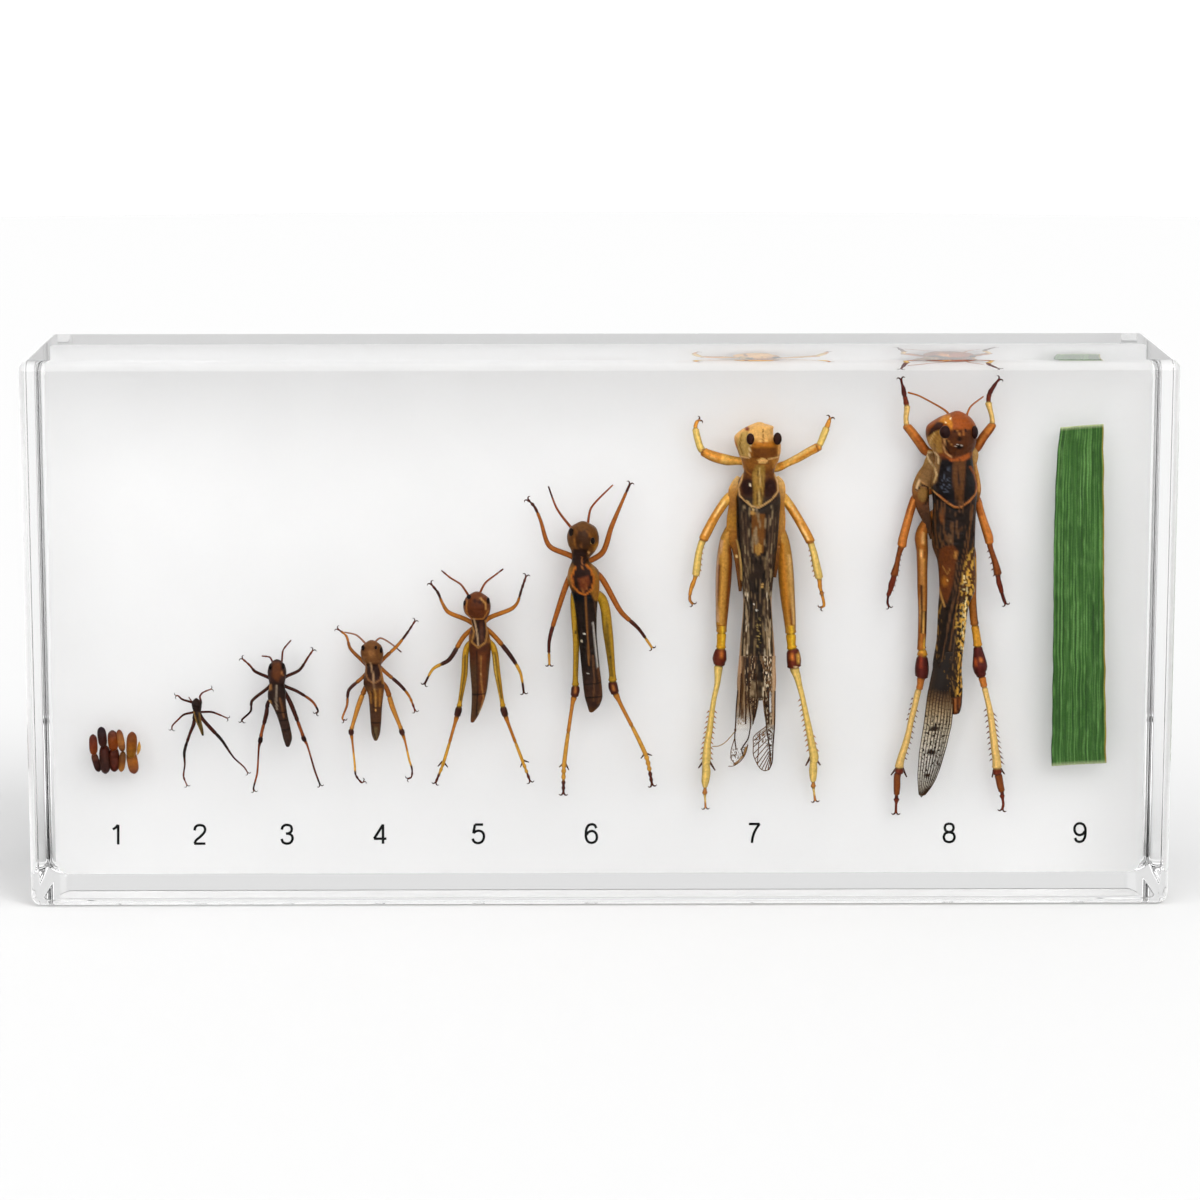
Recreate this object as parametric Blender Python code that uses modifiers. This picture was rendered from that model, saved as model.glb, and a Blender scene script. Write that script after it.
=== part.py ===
"""A clear resin block that shows how a locust grows: eggs, five nymphs, two adults and a leaf.

The block stands on its long narrow side, with its front towards -Y. The specimens are laid out
side by side on the sheet where the front and middle parts of the resin meet, each in a pocket of
its own. Behind them a white backing plate is let into the rear part of the resin.
"""

import math

import bmesh
import bpy
from mathutils import Matrix, Vector
from mathutils.geometry import convex_hull_2d

MM = 0.001

# Block
BLOCK_WIDTH = 165.0 * MM
BLOCK_DEPTH = 36.0 * MM
BLOCK_HEIGHT = 79.4 * MM
EDGE_ROUND = 1.5 * MM
EDGE_SEGMENTS = 2
GAP = 0.3 * MM

# White backing plate: its depth in the block, and how far it stays inside the block's outline
BACKING_FRONT = 4.0 * MM
BACKING_THICKNESS = 0.7 * MM
BACKING_INSET = 2.0 * MM
BACKING_FOOT = 1.3 * MM
BACKING_CORNER = 1.8 * MM
CORNER_STEPS = 2

# Sheet that the specimens lie on: its depth in the block, and what lies at pixel (600, 600)
SHEET_Y = -0.6 * MM
SHEET_X = 0.133 * MM
SHEET_Z = 42.98 * MM

# The outlines below were read by eye off a front view of 1200 pixels, drawn to this scale.
# A pixel covers a little more of the sheet lower down, where the block is farther away.
VIEW_MIDDLE = 600
PIXEL = 0.14594 * MM
PIXEL_GROWTH = 6.4e-6 * MM
PIXEL_DROP = 0.14822 * MM

# Roundness of the small forms
BODY_SIDES = 10
NYMPH_LIMB_RESOLUTION = 0
ADULT_LIMB_RESOLUTION = 1
POCKET_CLEARANCE = 0.45 * MM
WELD = 0.001 * MM

# How deep limbs run beside the sheet, in mm towards the back: at the body, at the tip, and the
# rise of the bend between them towards the front
NYMPH_REACH = (0.5, 1.0, 0.5)
ADULT_REACH = (1.6, 2.6, 1.2)
SPUR_REACH = (1.8, 2.0, 0.0)
CLAW_REACH = (2.6, 2.6, 0.0)

# Thickness of a body as a share of its width, at the head and at the tail
NYMPH_THICKNESS = (0.9, 0.8)
ADULT_THICKNESS = (1.0, 0.5)
WING_TIP_THICKNESS = (0.35, 0.3)

# Ten eggs in five columns: the two ends of each, and its width
EGG_ENDS = [
    ((93, 733), (93.6, 750), 7.0),
    ((94.5, 755.5), (98.6, 771), 6.5),
    ((101.5, 725.5), (103.6, 743), 7.0),
    ((104.6, 750), (105.6, 773), 7.4),
    ((112.8, 728), (113.6, 746), 7.2),
    ((114.2, 751), (114.6, 772), 7.0),
    ((121.0, 727), (122.2, 747), 5.6),
    ((123.0, 752), (122.4, 771), 5.6),
    ((132.2, 730), (131.4, 750), 8.0),
    ((131.6, 755), (133.6, 774), 7.8),
]
SHELL_CHIP = [(139.2, 741), (142.0, 748.5), (138.9, 754), (138.4, 747)]

# Every body and limb is a list of (x, y, half width), in pixels, from the head or the root on
NYMPH_1 = {
    "body": [
        (196.4, 697.5, 1.0),
        (196.6, 700, 3.8),
        (196.8, 704, 5.1),
        (197.2, 709, 4.2),
        (197.4, 713, 3.4),
        (198.7, 720, 2.9),
        (201.3, 728, 2.1),
        (203.0, 734.7, 0.9),
    ],
    "limbs": [
        [(192, 701, 0.7), (188.4, 697, 0.5)],
        [(192, 702, 1.2), (182, 698.6, 1.0), (178, 695.4, 0.8), (175.4, 696, 0.7)],
        [(201, 702.5, 1.2), (200, 696, 1.0), (202.7, 692.3, 0.9), (211.6, 689, 0.7)],
        [(192.4, 712, 1.2), (184, 714, 1.1), (177.7, 719.6, 0.9), (172.3, 725.4, 0.8), (171.6, 729.8, 0.7)],
        [(201.3, 711.5, 1.2), (211.6, 711.5, 1.1), (219.6, 714.6, 0.9), (227.7, 718.7, 0.7)],
        [(194.6, 715, 1.8), (193.8, 723.6, 1.9), (190, 733, 1.5), (184.5, 751, 1.5), (184.8, 764, 0.9),
         (183.5, 776.3, 0.9), (187, 786, 0.7)],
        [(201.8, 717.3, 1.8), (211, 728, 1.9), (221.4, 739.2, 1.5), (233.5, 757, 0.9), (243.8, 767, 0.8),
         (247.8, 773.6, 0.7)],
    ],
}

NYMPH_2 = {
    "body": [
        (277, 659.5, 3.0),
        (277, 664, 7.6),
        (277, 671, 9.4),
        (277, 679, 8.4),
        (277, 684, 7.6),
        (276.8, 692, 9.0),
        (277, 699, 8.8),
        (279.5, 706, 6.8),
        (282.5, 716, 5.4),
        (285.5, 727, 4.9),
        (287.6, 738, 4.4),
        (287.7, 746, 1.6),
    ],
    "eyes": [(268.5, 668, 2.4), (286.5, 670.5, 2.8)],
    "limbs": [
        [(272.8, 662, 1.0), (269.6, 657, 0.9), (261.4, 656.3, 0.7)],
        [(281.5, 662, 1.0), (283, 650, 0.9), (290.7, 640.5, 0.7)],
        [(268, 677, 1.7), (255, 671, 1.5), (249.5, 665, 1.1), (241.4, 658.4, 0.9)],
        [(286.4, 676, 1.7), (299.4, 669.6, 1.5), (308, 657, 1.1), (313, 650, 0.9)],
        [(269, 686.4, 1.7), (252, 700.5, 1.5), (250.6, 710.8, 1.1), (242, 719.4, 1.0), (241.7, 722, 0.9)],
        [(285.3, 686, 1.7), (297, 691, 1.6), (312, 701, 1.3), (317.8, 711, 1.0), (315.7, 714, 0.9)],
        [(268, 702.6, 2.0), (266.3, 713.5, 2.2), (261.4, 733, 1.6), (260.4, 739.5, 2.4), (258.8, 747, 1.1),
         (257, 773, 1.0), (253.3, 788.3, 0.9), (254, 791.5, 0.8)],
        [(285.3, 693, 2.0), (291.8, 706, 2.3), (302, 733, 1.6), (303.5, 738, 2.4), (307, 745, 1.1),
         (314.6, 771, 1.0), (320, 786, 0.9)],
    ],
}

NYMPH_3 = {
    "body": [
        (371.6, 640.5, 3.5),
        (371.6, 645, 9.4),
        (371.8, 652, 11.4),
        (372.2, 660, 10.2),
        (373, 665, 8.0),
        (373.4, 674, 9.2),
        (373.8, 684, 10.4),
        (375.6, 694, 7.8),
        (375.6, 705, 6.5),
        (375.7, 724, 5.2),
        (375.6, 734, 4.0),
        (375.5, 740, 1.5),
    ],
    "eyes": [(362.5, 649, 2.6), (380.5, 649, 2.6)],
    "limbs": [
        [(365, 643, 1.0), (356, 635, 0.9), (344, 632.6, 0.7)],
        [(374, 643, 1.0), (380, 638, 0.9), (389.6, 643, 0.8), (401, 652.7, 0.7)],
        [(361.5, 660, 1.9), (350, 648, 1.6), (346, 636, 1.2), (336.7, 629, 0.9)],
        [(383, 659, 1.9), (397, 645.6, 1.6), (407, 633, 1.2), (415, 621, 0.9)],
        [(364, 675.7, 1.9), (348.8, 689.8, 1.7), (346.8, 705, 1.2), (342, 718.6, 1.0), (344, 721, 0.9)],
        [(384, 671, 1.9), (400, 685, 1.7), (409, 696.5, 1.3), (415, 712, 0.9)],
        [(366, 686, 2.4), (358.8, 704, 2.6), (352, 726.6, 1.9), (351, 731, 2.8), (352, 740, 1.2),
         (354.6, 765, 1.1), (355.5, 775, 1.0), (361.5, 783, 0.9), (364, 781.5, 0.8)],
        [(385.6, 687, 2.4), (392, 706.5, 2.6), (400, 726.6, 1.9), (401.4, 731, 2.8), (404.5, 740, 1.2),
         (409, 760, 1.1), (411.7, 769.5, 1.0), (411, 777.5, 0.9), (407, 779.5, 0.8)],
    ],
}

NYMPH_4 = {
    "body": [
        (476.6, 592.5, 4.5),
        (476.6, 597, 11.0),
        (476.6, 605, 13.8),
        (477, 613, 12.4),
        (478.5, 619, 8.0),
        (479, 627, 7.6),
        (479, 635, 10.4),
        (479.6, 646, 11.0),
        (479.6, 657, 10.4),
        (479.4, 667, 9.8),
        (479, 690, 7.7),
        (476.5, 707, 5.4),
        (474, 716, 3.6),
        (472, 722, 1.6),
    ],
    "eyes": [(466.5, 597, 3.4), (487.5, 598, 3.4)],
    "limbs": [
        [(468, 595, 1.2), (460.5, 584.5, 1.0), (450, 578, 0.9), (441, 571, 0.8)],
        [(479, 595, 1.2), (485, 583, 1.0), (494, 576, 0.9), (503, 569.5, 0.8)],
        [(466.6, 620, 2.4), (448, 612, 2.1), (442, 603, 1.5), (437.6, 593, 1.3), (430, 583.7, 1.1)],
        [(489, 618, 2.4), (511, 609, 2.1), (517, 603, 1.5), (521, 590.6, 1.3), (526, 576, 1.1)],
        [(464, 636, 2.4), (449, 659.5, 2.2), (433, 669, 1.5), (424, 685, 1.1)],
        [(493, 635, 2.4), (510, 655.7, 2.2), (520, 673, 1.5), (523.6, 694, 1.1)],
        [(466.6, 648, 3.2), (464, 675, 3.2), (459.7, 702, 2.2), (458, 711, 3.5), (454.5, 724, 1.7),
         (443, 763.6, 1.6), (435, 784, 1.1)],
        [(492.7, 647, 3.2), (497, 673, 3.2), (501.8, 702, 2.2), (503.6, 711, 3.5), (508, 724, 1.7),
         (523, 763.6, 1.6), (530, 782.7, 1.1)],
    ],
}

NYMPH_5 = {
    "body": [
        (582.6, 522.5, 5.0),
        (582.6, 527, 12.5),
        (582.6, 536, 16.0),
        (583, 545, 15.0),
        (583, 551, 12.0),
        (580, 560, 8.5),
        (583, 570, 15.0),
        (583, 580, 16.0),
        (585, 592, 14.0),
        (585.5, 604, 11.5),
        (587, 632.6, 9.4),
        (590, 665, 9.2),
        (593.2, 696, 9.0),
        (593, 706, 6.0),
        (591, 712, 2.0),
    ],
    "eyes": [(570, 532, 4.2), (595.5, 536, 4.2)],
    "limbs": [
        [(571, 528, 1.4), (556.6, 509, 1.1), (548, 487, 0.8)],
        [(587, 526, 1.4), (591, 508, 1.1), (612.6, 485.6, 0.8)],
        [(572, 557, 2.9), (549, 546, 2.5), (540, 520, 1.7), (534, 507, 1.4), (527, 500, 1.2)],
        [(602, 553, 2.9), (611, 527.5, 2.5), (621.7, 502.5, 1.7), (630, 484, 1.2)],
        [(569.6, 577, 3.0), (557, 612, 2.6), (549, 641, 1.8), (549, 666, 1.2)],
        [(600, 577, 3.0), (620.6, 612, 2.6), (638, 629, 1.8), (652, 649, 1.2)],
        [(574, 594, 3.6), (575.7, 643.5, 3.2), (575, 680, 2.8), (575, 691, 4.4), (572, 705, 2.0),
         (563.8, 765, 2.2), (563, 795, 1.4)],
        [(602, 600, 4.8), (607.6, 632.6, 5.0), (612, 674, 3.4), (613, 688, 4.8), (619, 702, 2.1),
         (645.5, 756, 2.2), (652, 786.6, 1.4)],
    ],
}

ADULT_PALE = {
    "body": [
        (757.7, 424.6, 8.0),
        (757.7, 429, 17.0),
        (757.7, 436, 22.0),
        (757.7, 443, 23.0),
        (757.9, 452, 20.5),
        (758.2, 460, 18.0),
        (759.5, 466, 20.0),
        (759.5, 474, 16.6),
        (759, 489, 21.5),
        (759, 497, 22.6),
        (757.5, 520, 21.4),
        (757, 544, 20.0),
        (757, 575, 16.5),
        (757, 604, 14.2),
        (756.7, 652, 17.6),
        (756, 696, 18.4),
    ],
    "wing_tips": [
        [(748, 688, 10.0), (745, 712, 9.0), (742.6, 736, 7.0), (737, 755, 5.0), (731, 766, 1.6)],
        [(766, 688, 8.0), (764.5, 712, 8.6), (763, 736, 10.0), (762.6, 755, 9.0), (765, 767, 5.0),
         (765.4, 771, 2.0)],
    ],
    "eyes": [(744, 436.5, 5.6), (775.5, 437.5, 5.6)],
    "limbs": [
        [(737, 462, 4.6), (727, 463.6, 5.0), (703.5, 453, 3.9), (696.8, 436.8, 2.8), (694.8, 428.8, 1.9),
         (698.8, 424, 1.6)],
        [(777, 469, 4.6), (786.5, 463.6, 5.0), (817, 448, 3.9), (826.7, 436.8, 2.8), (827.4, 427.4, 1.9),
         (830, 422, 1.6)],
        [(736, 496, 3.4), (729, 498, 4.5), (714, 517, 4.2), (702.8, 538.6, 3.6), (696.8, 564, 2.5),
         (690, 589.5, 1.9), (690.8, 605.5, 1.7), (694.8, 607, 1.4)],
        [(779, 497, 3.4), (783.8, 498, 4.5), (797, 517, 4.2), (809, 542.6, 3.6), (816, 564, 2.5),
         (821, 593.5, 1.9), (824, 603, 1.7), (820, 610, 1.4)],
        [(737, 528, 4.6), (727, 536, 5.6), (723.5, 567, 6.6), (721.5, 620, 5.6), (719.2, 645, 4.4),
         (718.6, 657, 6.6), (717.6, 670, 3.4), (711, 715, 3.0), (705.8, 764, 4.6), (704.8, 776, 2.4),
         (704.8, 791, 2.2), (705, 810, 2.0)],
        [(777, 530, 4.6), (783, 540, 5.6), (785.4, 570, 7.0), (790, 620, 6.6), (791, 646, 4.4),
         (793.6, 659, 6.8), (796, 673, 3.4), (803, 712, 3.0), (812.6, 760, 4.6), (813, 776, 2.4),
         (814.5, 789.6, 2.2), (815.5, 803, 2.0)],
    ],
    "spurs": [
        [(706, 760, 1.6), (698.5, 770.5, 0.7)],
        [(707, 760, 1.6), (715.2, 773, 0.7)],
        [(812, 757, 1.6), (806, 768.5, 0.7)],
        [(813, 757, 1.6), (820.8, 768, 0.7)],
    ],
    "claws": [
        [(705, 808, 1.4), (701.5, 813.5, 0.7)],
        [(705, 808, 1.4), (710.5, 813.0, 0.7)],
        [(815.5, 801, 1.4), (811.5, 805.5, 0.7)],
        [(815.5, 801, 1.4), (819.5, 805.5, 0.7)],
    ],
}

ADULT_DARK = {
    "body": [
        (957, 413, 6.0),
        (954.5, 418, 16.0),
        (951.5, 426, 24.4),
        (951.2, 434, 25.7),
        (952, 444, 24.0),
        (953, 453, 19.6),
        (953.5, 460, 19.0),
        (953.5, 472, 20.6),
        (954, 487, 23.0),
        (954.5, 502, 21.8),
        (953.6, 524, 21.6),
        (953.3, 546, 21.4),
        (956, 562, 18.8),
        (957, 590, 18.0),
        (953, 608, 15.2),
        (950.4, 640, 14.2),
        (947, 668, 14.6),
        (943, 699, 16.5),
        (937.5, 721.6, 14.5),
        (933.5, 743, 13.0),
        (928.7, 766, 11.3),
        (925.2, 781, 8.5),
        (922.6, 790, 5.0),
        (920, 797, 1.6),
    ],
    "wing_tips": [
        [(952, 680, 7.0), (953.5, 700, 6.2), (954, 715, 4.6)],
    ],
    "eyes": [(943.5, 431.6, 6.5), (970.5, 431.2, 5.6)],
    "limbs": [
        [(948.5, 417, 1.9), (936, 403, 1.5), (921, 396.4, 1.2), (909, 395, 1.0)],
        [(966.8, 418, 1.9), (972.7, 406.7, 1.5), (985, 397, 1.0)],
        [(932, 455, 4.2), (924, 452, 4.4), (906, 427, 3.8), (906.7, 408, 2.6), (904.5, 393.5, 1.8),
         (901.5, 379.5, 1.4)],
        [(970, 451, 4.2), (975.6, 449, 4.4), (992.5, 426.5, 3.6), (991.7, 406.7, 2.6), (990, 395, 1.8),
         (1002, 380, 1.4)],
        [(924, 494, 3.6), (914.7, 497, 4.2), (901.5, 544.6, 3.9), (894, 575, 2.4), (889, 590, 1.8),
         (888, 602, 1.6), (892.8, 610, 1.3)],
        [(974, 497, 3.6), (980, 500, 4.2), (990, 540, 3.9), (997.6, 576.8, 2.4), (1002.7, 594, 1.8),
         (1006, 607, 1.3)],
        [(934, 522, 4.0), (924, 530, 4.6), (921.6, 560, 5.0), (921.8, 620, 4.6), (921.8, 650, 4.0),
         (921.5, 665, 7.0), (919.5, 680, 3.4), (911, 722, 2.8), (900, 770, 3.6), (898.6, 782, 2.2),
         (898, 796.6, 2.0), (896, 817, 1.8)],
        [(972, 560, 3.6), (975, 588, 3.6), (978, 625, 3.6), (980, 647, 3.6), (980.3, 662, 6.8),
         (983.2, 678, 3.2), (989, 715, 2.8), (997, 768, 3.6), (999, 782, 2.2), (1001, 793.6, 2.0),
         (1004.2, 812, 1.8)],
    ],
    "spurs": [
        [(900.5, 766, 1.6), (891.6, 778, 0.7)],
        [(901, 766, 1.6), (907.3, 780, 0.7)],
        [(996.6, 765, 1.6), (993, 780.5, 0.7)],
        [(997, 765, 1.6), (1005.6, 777.3, 0.7)],
    ],
    "claws": [
        [(896.4, 815, 1.4), (891.5, 821, 0.7)],
        [(896.4, 815, 1.4), (901, 820.5, 0.7)],
        [(1004, 810, 1.4), (998.5, 816, 0.7)],
    ],
}

# Leaf: its left and right edges at six heights
LEAF_ROWS = [
    (428, 1060.3, 1103.3),
    (470, 1056.2, 1103.8),
    (533, 1054.0, 1104.2),
    (600, 1053.4, 1104.4),
    (690, 1052.4, 1105.4),
    (764, 1051.4, 1106.3),
]
LEAF_COLUMNS = 5
LEAF_STEPS = 2
LEAF_THICKNESS = 0.5 * MM
LEAF_WAVE = 0.35 * MM


def clear_scene():
    for item in list(bpy.data.objects):
        bpy.data.objects.remove(item, do_unlink=True)


def new_collection(name, parent=None):
    collection = bpy.data.collections.new(name)
    (parent or bpy.context.scene.collection).children.link(collection)
    return collection


def material(name, colour, roughness, transmission=0.0, ior=1.45):
    made = bpy.data.materials.new(name)
    made.use_nodes = True
    shader = made.node_tree.nodes["Principled BSDF"]
    shader.inputs["Base Color"].default_value = (*colour, 1.0)
    shader.inputs["Roughness"].default_value = roughness
    shader.inputs["Metallic"].default_value = 0.0
    shader.inputs["Transmission Weight"].default_value = transmission
    shader.inputs["IOR"].default_value = ior
    return made


def add_object(name, mesh, collection, finish=None):
    item = bpy.data.objects.new(name, mesh)
    collection.objects.link(item)
    if finish:
        mesh.materials.append(finish)
    return item


def hide_helper(item):
    item.hide_render = True
    item.display_type = "WIRE"


def evaluated_mesh(item):
    graph = bpy.context.evaluated_depsgraph_get()
    graph.update()
    return bpy.data.meshes.new_from_object(item.evaluated_get(graph))


def on_sheet(px, py, deeper=0.0):
    """The place in the block, in metres, that a pixel of the front view shows at the sheet's depth."""
    right = px - VIEW_MIDDLE
    down = py - VIEW_MIDDLE
    x = SHEET_X + right * (PIXEL + PIXEL_GROWTH * down)
    z = SHEET_Z - down * (PIXEL_DROP + PIXEL_GROWTH * down)
    return Vector((x, SHEET_Y + deeper, z))


def box_mesh(name, low, high):
    shape = bmesh.new()
    size = Vector(high) - Vector(low)
    middle = (Vector(high) + Vector(low)) / 2
    bmesh.ops.create_cube(shape, size=1.0)
    bmesh.ops.scale(shape, vec=size, verts=shape.verts)
    bmesh.ops.translate(shape, vec=middle, verts=shape.verts)
    mesh = bpy.data.meshes.new(name)
    shape.to_mesh(mesh)
    shape.free()
    return mesh


def loft(name, rings, thickness, deeper=0.0):
    """A closed body through level oval rings. Its thickness runs from one share of its width to another."""
    shape = bmesh.new()
    loops = []
    for number, (px, py, half_width) in enumerate(rings):
        along = number / (len(rings) - 1)
        share = thickness[0] + (thickness[1] - thickness[0]) * along
        middle = on_sheet(px, py, deeper)
        loop = []
        for side in range(BODY_SIDES):
            angle = math.tau * side / BODY_SIDES
            offset = Vector((math.cos(angle), math.sin(angle) * share, 0.0)) * half_width * PIXEL
            loop.append(shape.verts.new(middle + offset))
        loops.append(loop)
    for upper, lower in zip(loops, loops[1:]):
        for side in range(BODY_SIDES):
            after = (side + 1) % BODY_SIDES
            shape.faces.new((upper[side], lower[side], lower[after], upper[after]))
    shape.faces.new(loops[0])
    shape.faces.new(list(reversed(loops[-1])))
    bmesh.ops.recalc_face_normals(shape, faces=shape.faces)
    mesh = bpy.data.meshes.new(name)
    shape.to_mesh(mesh)
    shape.free()
    return mesh


def body_middle(rings, py):
    """The middle of the body at a height, where a limb at that height grows from."""
    for (x0, y0, _), (x1, y1, _) in zip(rings, rings[1:]):
        if y0 <= py <= y1:
            return x0 + (x1 - x0) * (py - y0) / (y1 - y0)
    return rings[0][0] if py < rings[0][1] else rings[-1][0]


def limb(name, points, reach, resolution, collection):
    """A jointed limb: a tube through its points, each with its own half width."""
    curve = bpy.data.curves.new(name, "CURVE")
    curve.dimensions = "3D"
    curve.bevel_depth = PIXEL
    curve.bevel_resolution = resolution
    curve.use_fill_caps = True
    spline = curve.splines.new("POLY")
    spline.points.add(len(points) - 1)
    at_body, at_tip, rise = reach
    for number, (px, py, half_width) in enumerate(points):
        along = number / (len(points) - 1)
        deeper = at_body + (at_tip - at_body) * along - rise * math.sin(math.pi * along)
        spline.points[number].co = (*on_sheet(px, py, deeper * MM), 1.0)
        spline.points[number].radius = half_width
    tube = bpy.data.objects.new(name + "_line", curve)
    collection.objects.link(tube)
    mesh = evaluated_mesh(tube)
    mesh.name = name
    welded = bmesh.new()
    welded.from_mesh(mesh)
    bmesh.ops.remove_doubles(welded, verts=welded.verts, dist=WELD)
    bmesh.ops.recalc_face_normals(welded, faces=welded.faces)
    welded.to_mesh(mesh)
    welded.free()
    item = add_object(name, mesh, collection)
    item.matrix_world = tube.matrix_world
    bpy.data.objects.remove(tube, do_unlink=True)
    hide_helper(item)


def eye(name, place, reach, collection):
    px, py, radius = place
    shape = bmesh.new()
    bmesh.ops.create_icosphere(shape, subdivisions=2, radius=radius * PIXEL)
    bmesh.ops.translate(shape, vec=on_sheet(px, py, -reach), verts=shape.verts)
    mesh = bpy.data.meshes.new(name)
    shape.to_mesh(mesh)
    shape.free()
    hide_helper(add_object(name, mesh, collection))


def insect(name, plan, reach, resolution, thickness, finish, parts, cutters):
    """One insect: a lofted body with its eyes, limbs, spurs and wing tips fused to it."""
    body = add_object(name, loft(name, plan["body"], thickness), parts, finish)
    pieces = new_collection(name + "_pieces", cutters)
    head_width = max(ring[2] for ring in plan["body"][:4])
    for number, place in enumerate(plan.get("eyes", [])):
        eye(f"{name}_eye_{number}", place, head_width * 0.25 * PIXEL, pieces)
    for number, points in enumerate(plan["limbs"]):
        root_x = body_middle(plan["body"], points[0][1])
        root = (root_x, points[0][1], points[0][2])
        limb(f"{name}_limb_{number}", [root, *points], reach, resolution, pieces)
    for number, points in enumerate(plan.get("spurs", [])):
        limb(f"{name}_spur_{number}", points, SPUR_REACH, NYMPH_LIMB_RESOLUTION, pieces)
    for number, points in enumerate(plan.get("claws", [])):
        limb(f"{name}_claw_{number}", points, CLAW_REACH, NYMPH_LIMB_RESOLUTION, pieces)
    for number, rings in enumerate(plan.get("wing_tips", [])):
        mesh = loft(f"{name}_wing_{number}", rings, WING_TIP_THICKNESS)
        hide_helper(add_object(f"{name}_wing_{number}", mesh, pieces))
    fuse = body.modifiers.new("limbs", "BOOLEAN")
    fuse.operation = "UNION"
    fuse.operand_type = "COLLECTION"
    fuse.collection = pieces
    fuse.solver = "EXACT"
    return body


def egg(number, ends, finish, parts):
    """One egg: a ball drawn out between its two ends."""
    (x0, y0), (x1, y1), width = ends
    top = on_sheet(x0, y0)
    bottom = on_sheet(x1, y1)
    name = f"egg_{number:02d}"
    shape = bmesh.new()
    bmesh.ops.create_uvsphere(shape, u_segments=8, v_segments=5, radius=0.5)
    bmesh.ops.scale(shape, vec=(width * PIXEL, width * PIXEL, (top - bottom).length), verts=shape.verts)
    turn = (top - bottom).to_track_quat("Z", "Y").to_matrix().to_4x4()
    move = Matrix.Translation((top + bottom) / 2)
    bmesh.ops.transform(shape, matrix=move @ turn, verts=shape.verts)
    mesh = bpy.data.meshes.new(name)
    shape.to_mesh(mesh)
    shape.free()
    mesh.shade_smooth()
    return add_object(name, mesh, parts, finish)


def flat_outline(name, points, thickness, finish, parts):
    """A thin flat piece on the sheet, from its outline."""
    shape = bmesh.new()
    face = shape.faces.new([shape.verts.new(on_sheet(px, py, -thickness / 2)) for px, py in points])
    grown = bmesh.ops.extrude_face_region(shape, geom=[face])
    moved = [part for part in grown["geom"] if isinstance(part, bmesh.types.BMVert)]
    bmesh.ops.translate(shape, vec=(0.0, thickness, 0.0), verts=moved)
    bmesh.ops.recalc_face_normals(shape, faces=shape.faces)
    mesh = bpy.data.meshes.new(name)
    shape.to_mesh(mesh)
    shape.free()
    return add_object(name, mesh, parts, finish)


def leaf_row(along):
    """The leaf's height and edges at a share of its length, between the rows that were read."""
    place = along * (len(LEAF_ROWS) - 1)
    number = min(int(place), len(LEAF_ROWS) - 2)
    share = place - number
    pairs = zip(LEAF_ROWS[number], LEAF_ROWS[number + 1])
    return [start + (end - start) * share for start, end in pairs]


def leaf(finish, parts):
    """A cut piece of grass blade: a gently waved sheet with thickness."""
    shape = bmesh.new()
    rows = []
    count = (len(LEAF_ROWS) - 1) * LEAF_STEPS
    for step in range(count + 1):
        py, left, right = leaf_row(step / count)
        row = []
        for column in range(LEAF_COLUMNS + 1):
            across = column / LEAF_COLUMNS
            wave = LEAF_WAVE * math.sin(7.0 * step / count + 2.0 * across) * math.sin(3.0 * across + 0.6)
            row.append(shape.verts.new(on_sheet(left + (right - left) * across, py, wave)))
        rows.append(row)
    for upper, lower in zip(rows, rows[1:]):
        for column in range(LEAF_COLUMNS):
            shape.faces.new((upper[column], lower[column], lower[column + 1], upper[column + 1]))
    mesh = bpy.data.meshes.new("leaf_blade")
    shape.to_mesh(mesh)
    shape.free()
    blade = add_object("leaf_blade", mesh, parts, finish)
    thicken = blade.modifiers.new("thickness", "SOLIDIFY")
    thicken.thickness = LEAF_THICKNESS
    thicken.offset = 0.0
    return blade


def pocket(name, contents, cutters):
    """A cutter with clearance round what it holds: the outline of all of it, swept through its depth."""
    points = []
    depths = []
    for item in contents:
        mesh = evaluated_mesh(item)
        for vertex in mesh.vertices:
            place = item.matrix_world @ vertex.co
            depths.append(place.y)
            points.append((place.x, place.z))
        bpy.data.meshes.remove(mesh)
    sides = [(POCKET_CLEARANCE, 0), (-POCKET_CLEARANCE, 0), (0, POCKET_CLEARANCE), (0, -POCKET_CLEARANCE)]
    hull = [points[index] for index in convex_hull_2d(points)]
    swollen = [(x + dx, z + dz) for x, z in hull for dx, dz in sides]
    outline = [swollen[index] for index in convex_hull_2d(swollen)]
    front = min(depths) - GAP
    back = max(depths) + GAP
    shape = bmesh.new()
    face = shape.faces.new([shape.verts.new((x, front, z)) for x, z in outline])
    grown = bmesh.ops.extrude_face_region(shape, geom=[face])
    moved = [part for part in grown["geom"] if isinstance(part, bmesh.types.BMVert)]
    bmesh.ops.translate(shape, vec=(0.0, back - front, 0.0), verts=moved)
    bmesh.ops.recalc_face_normals(shape, faces=shape.faces)
    mesh = bpy.data.meshes.new(name)
    shape.to_mesh(mesh)
    shape.free()
    hide_helper(add_object(name, mesh, cutters))


def resin_part(name, front, back, rounded_block, recesses, finish, parts):
    """One pour of resin: the part of the rounded block between two depths, less its recesses."""
    low = (-BLOCK_WIDTH, front, -BLOCK_HEIGHT)
    high = (BLOCK_WIDTH, back, 2 * BLOCK_HEIGHT)
    pour = add_object(name, box_mesh(name, low, high), parts, finish)
    keep = pour.modifiers.new("block", "BOOLEAN")
    keep.operation = "INTERSECT"
    keep.object = rounded_block
    keep.solver = "EXACT"
    cut = pour.modifiers.new("recesses", "BOOLEAN")
    cut.operation = "DIFFERENCE"
    cut.operand_type = "COLLECTION"
    cut.collection = recesses
    cut.solver = "EXACT"
    return pour


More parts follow.
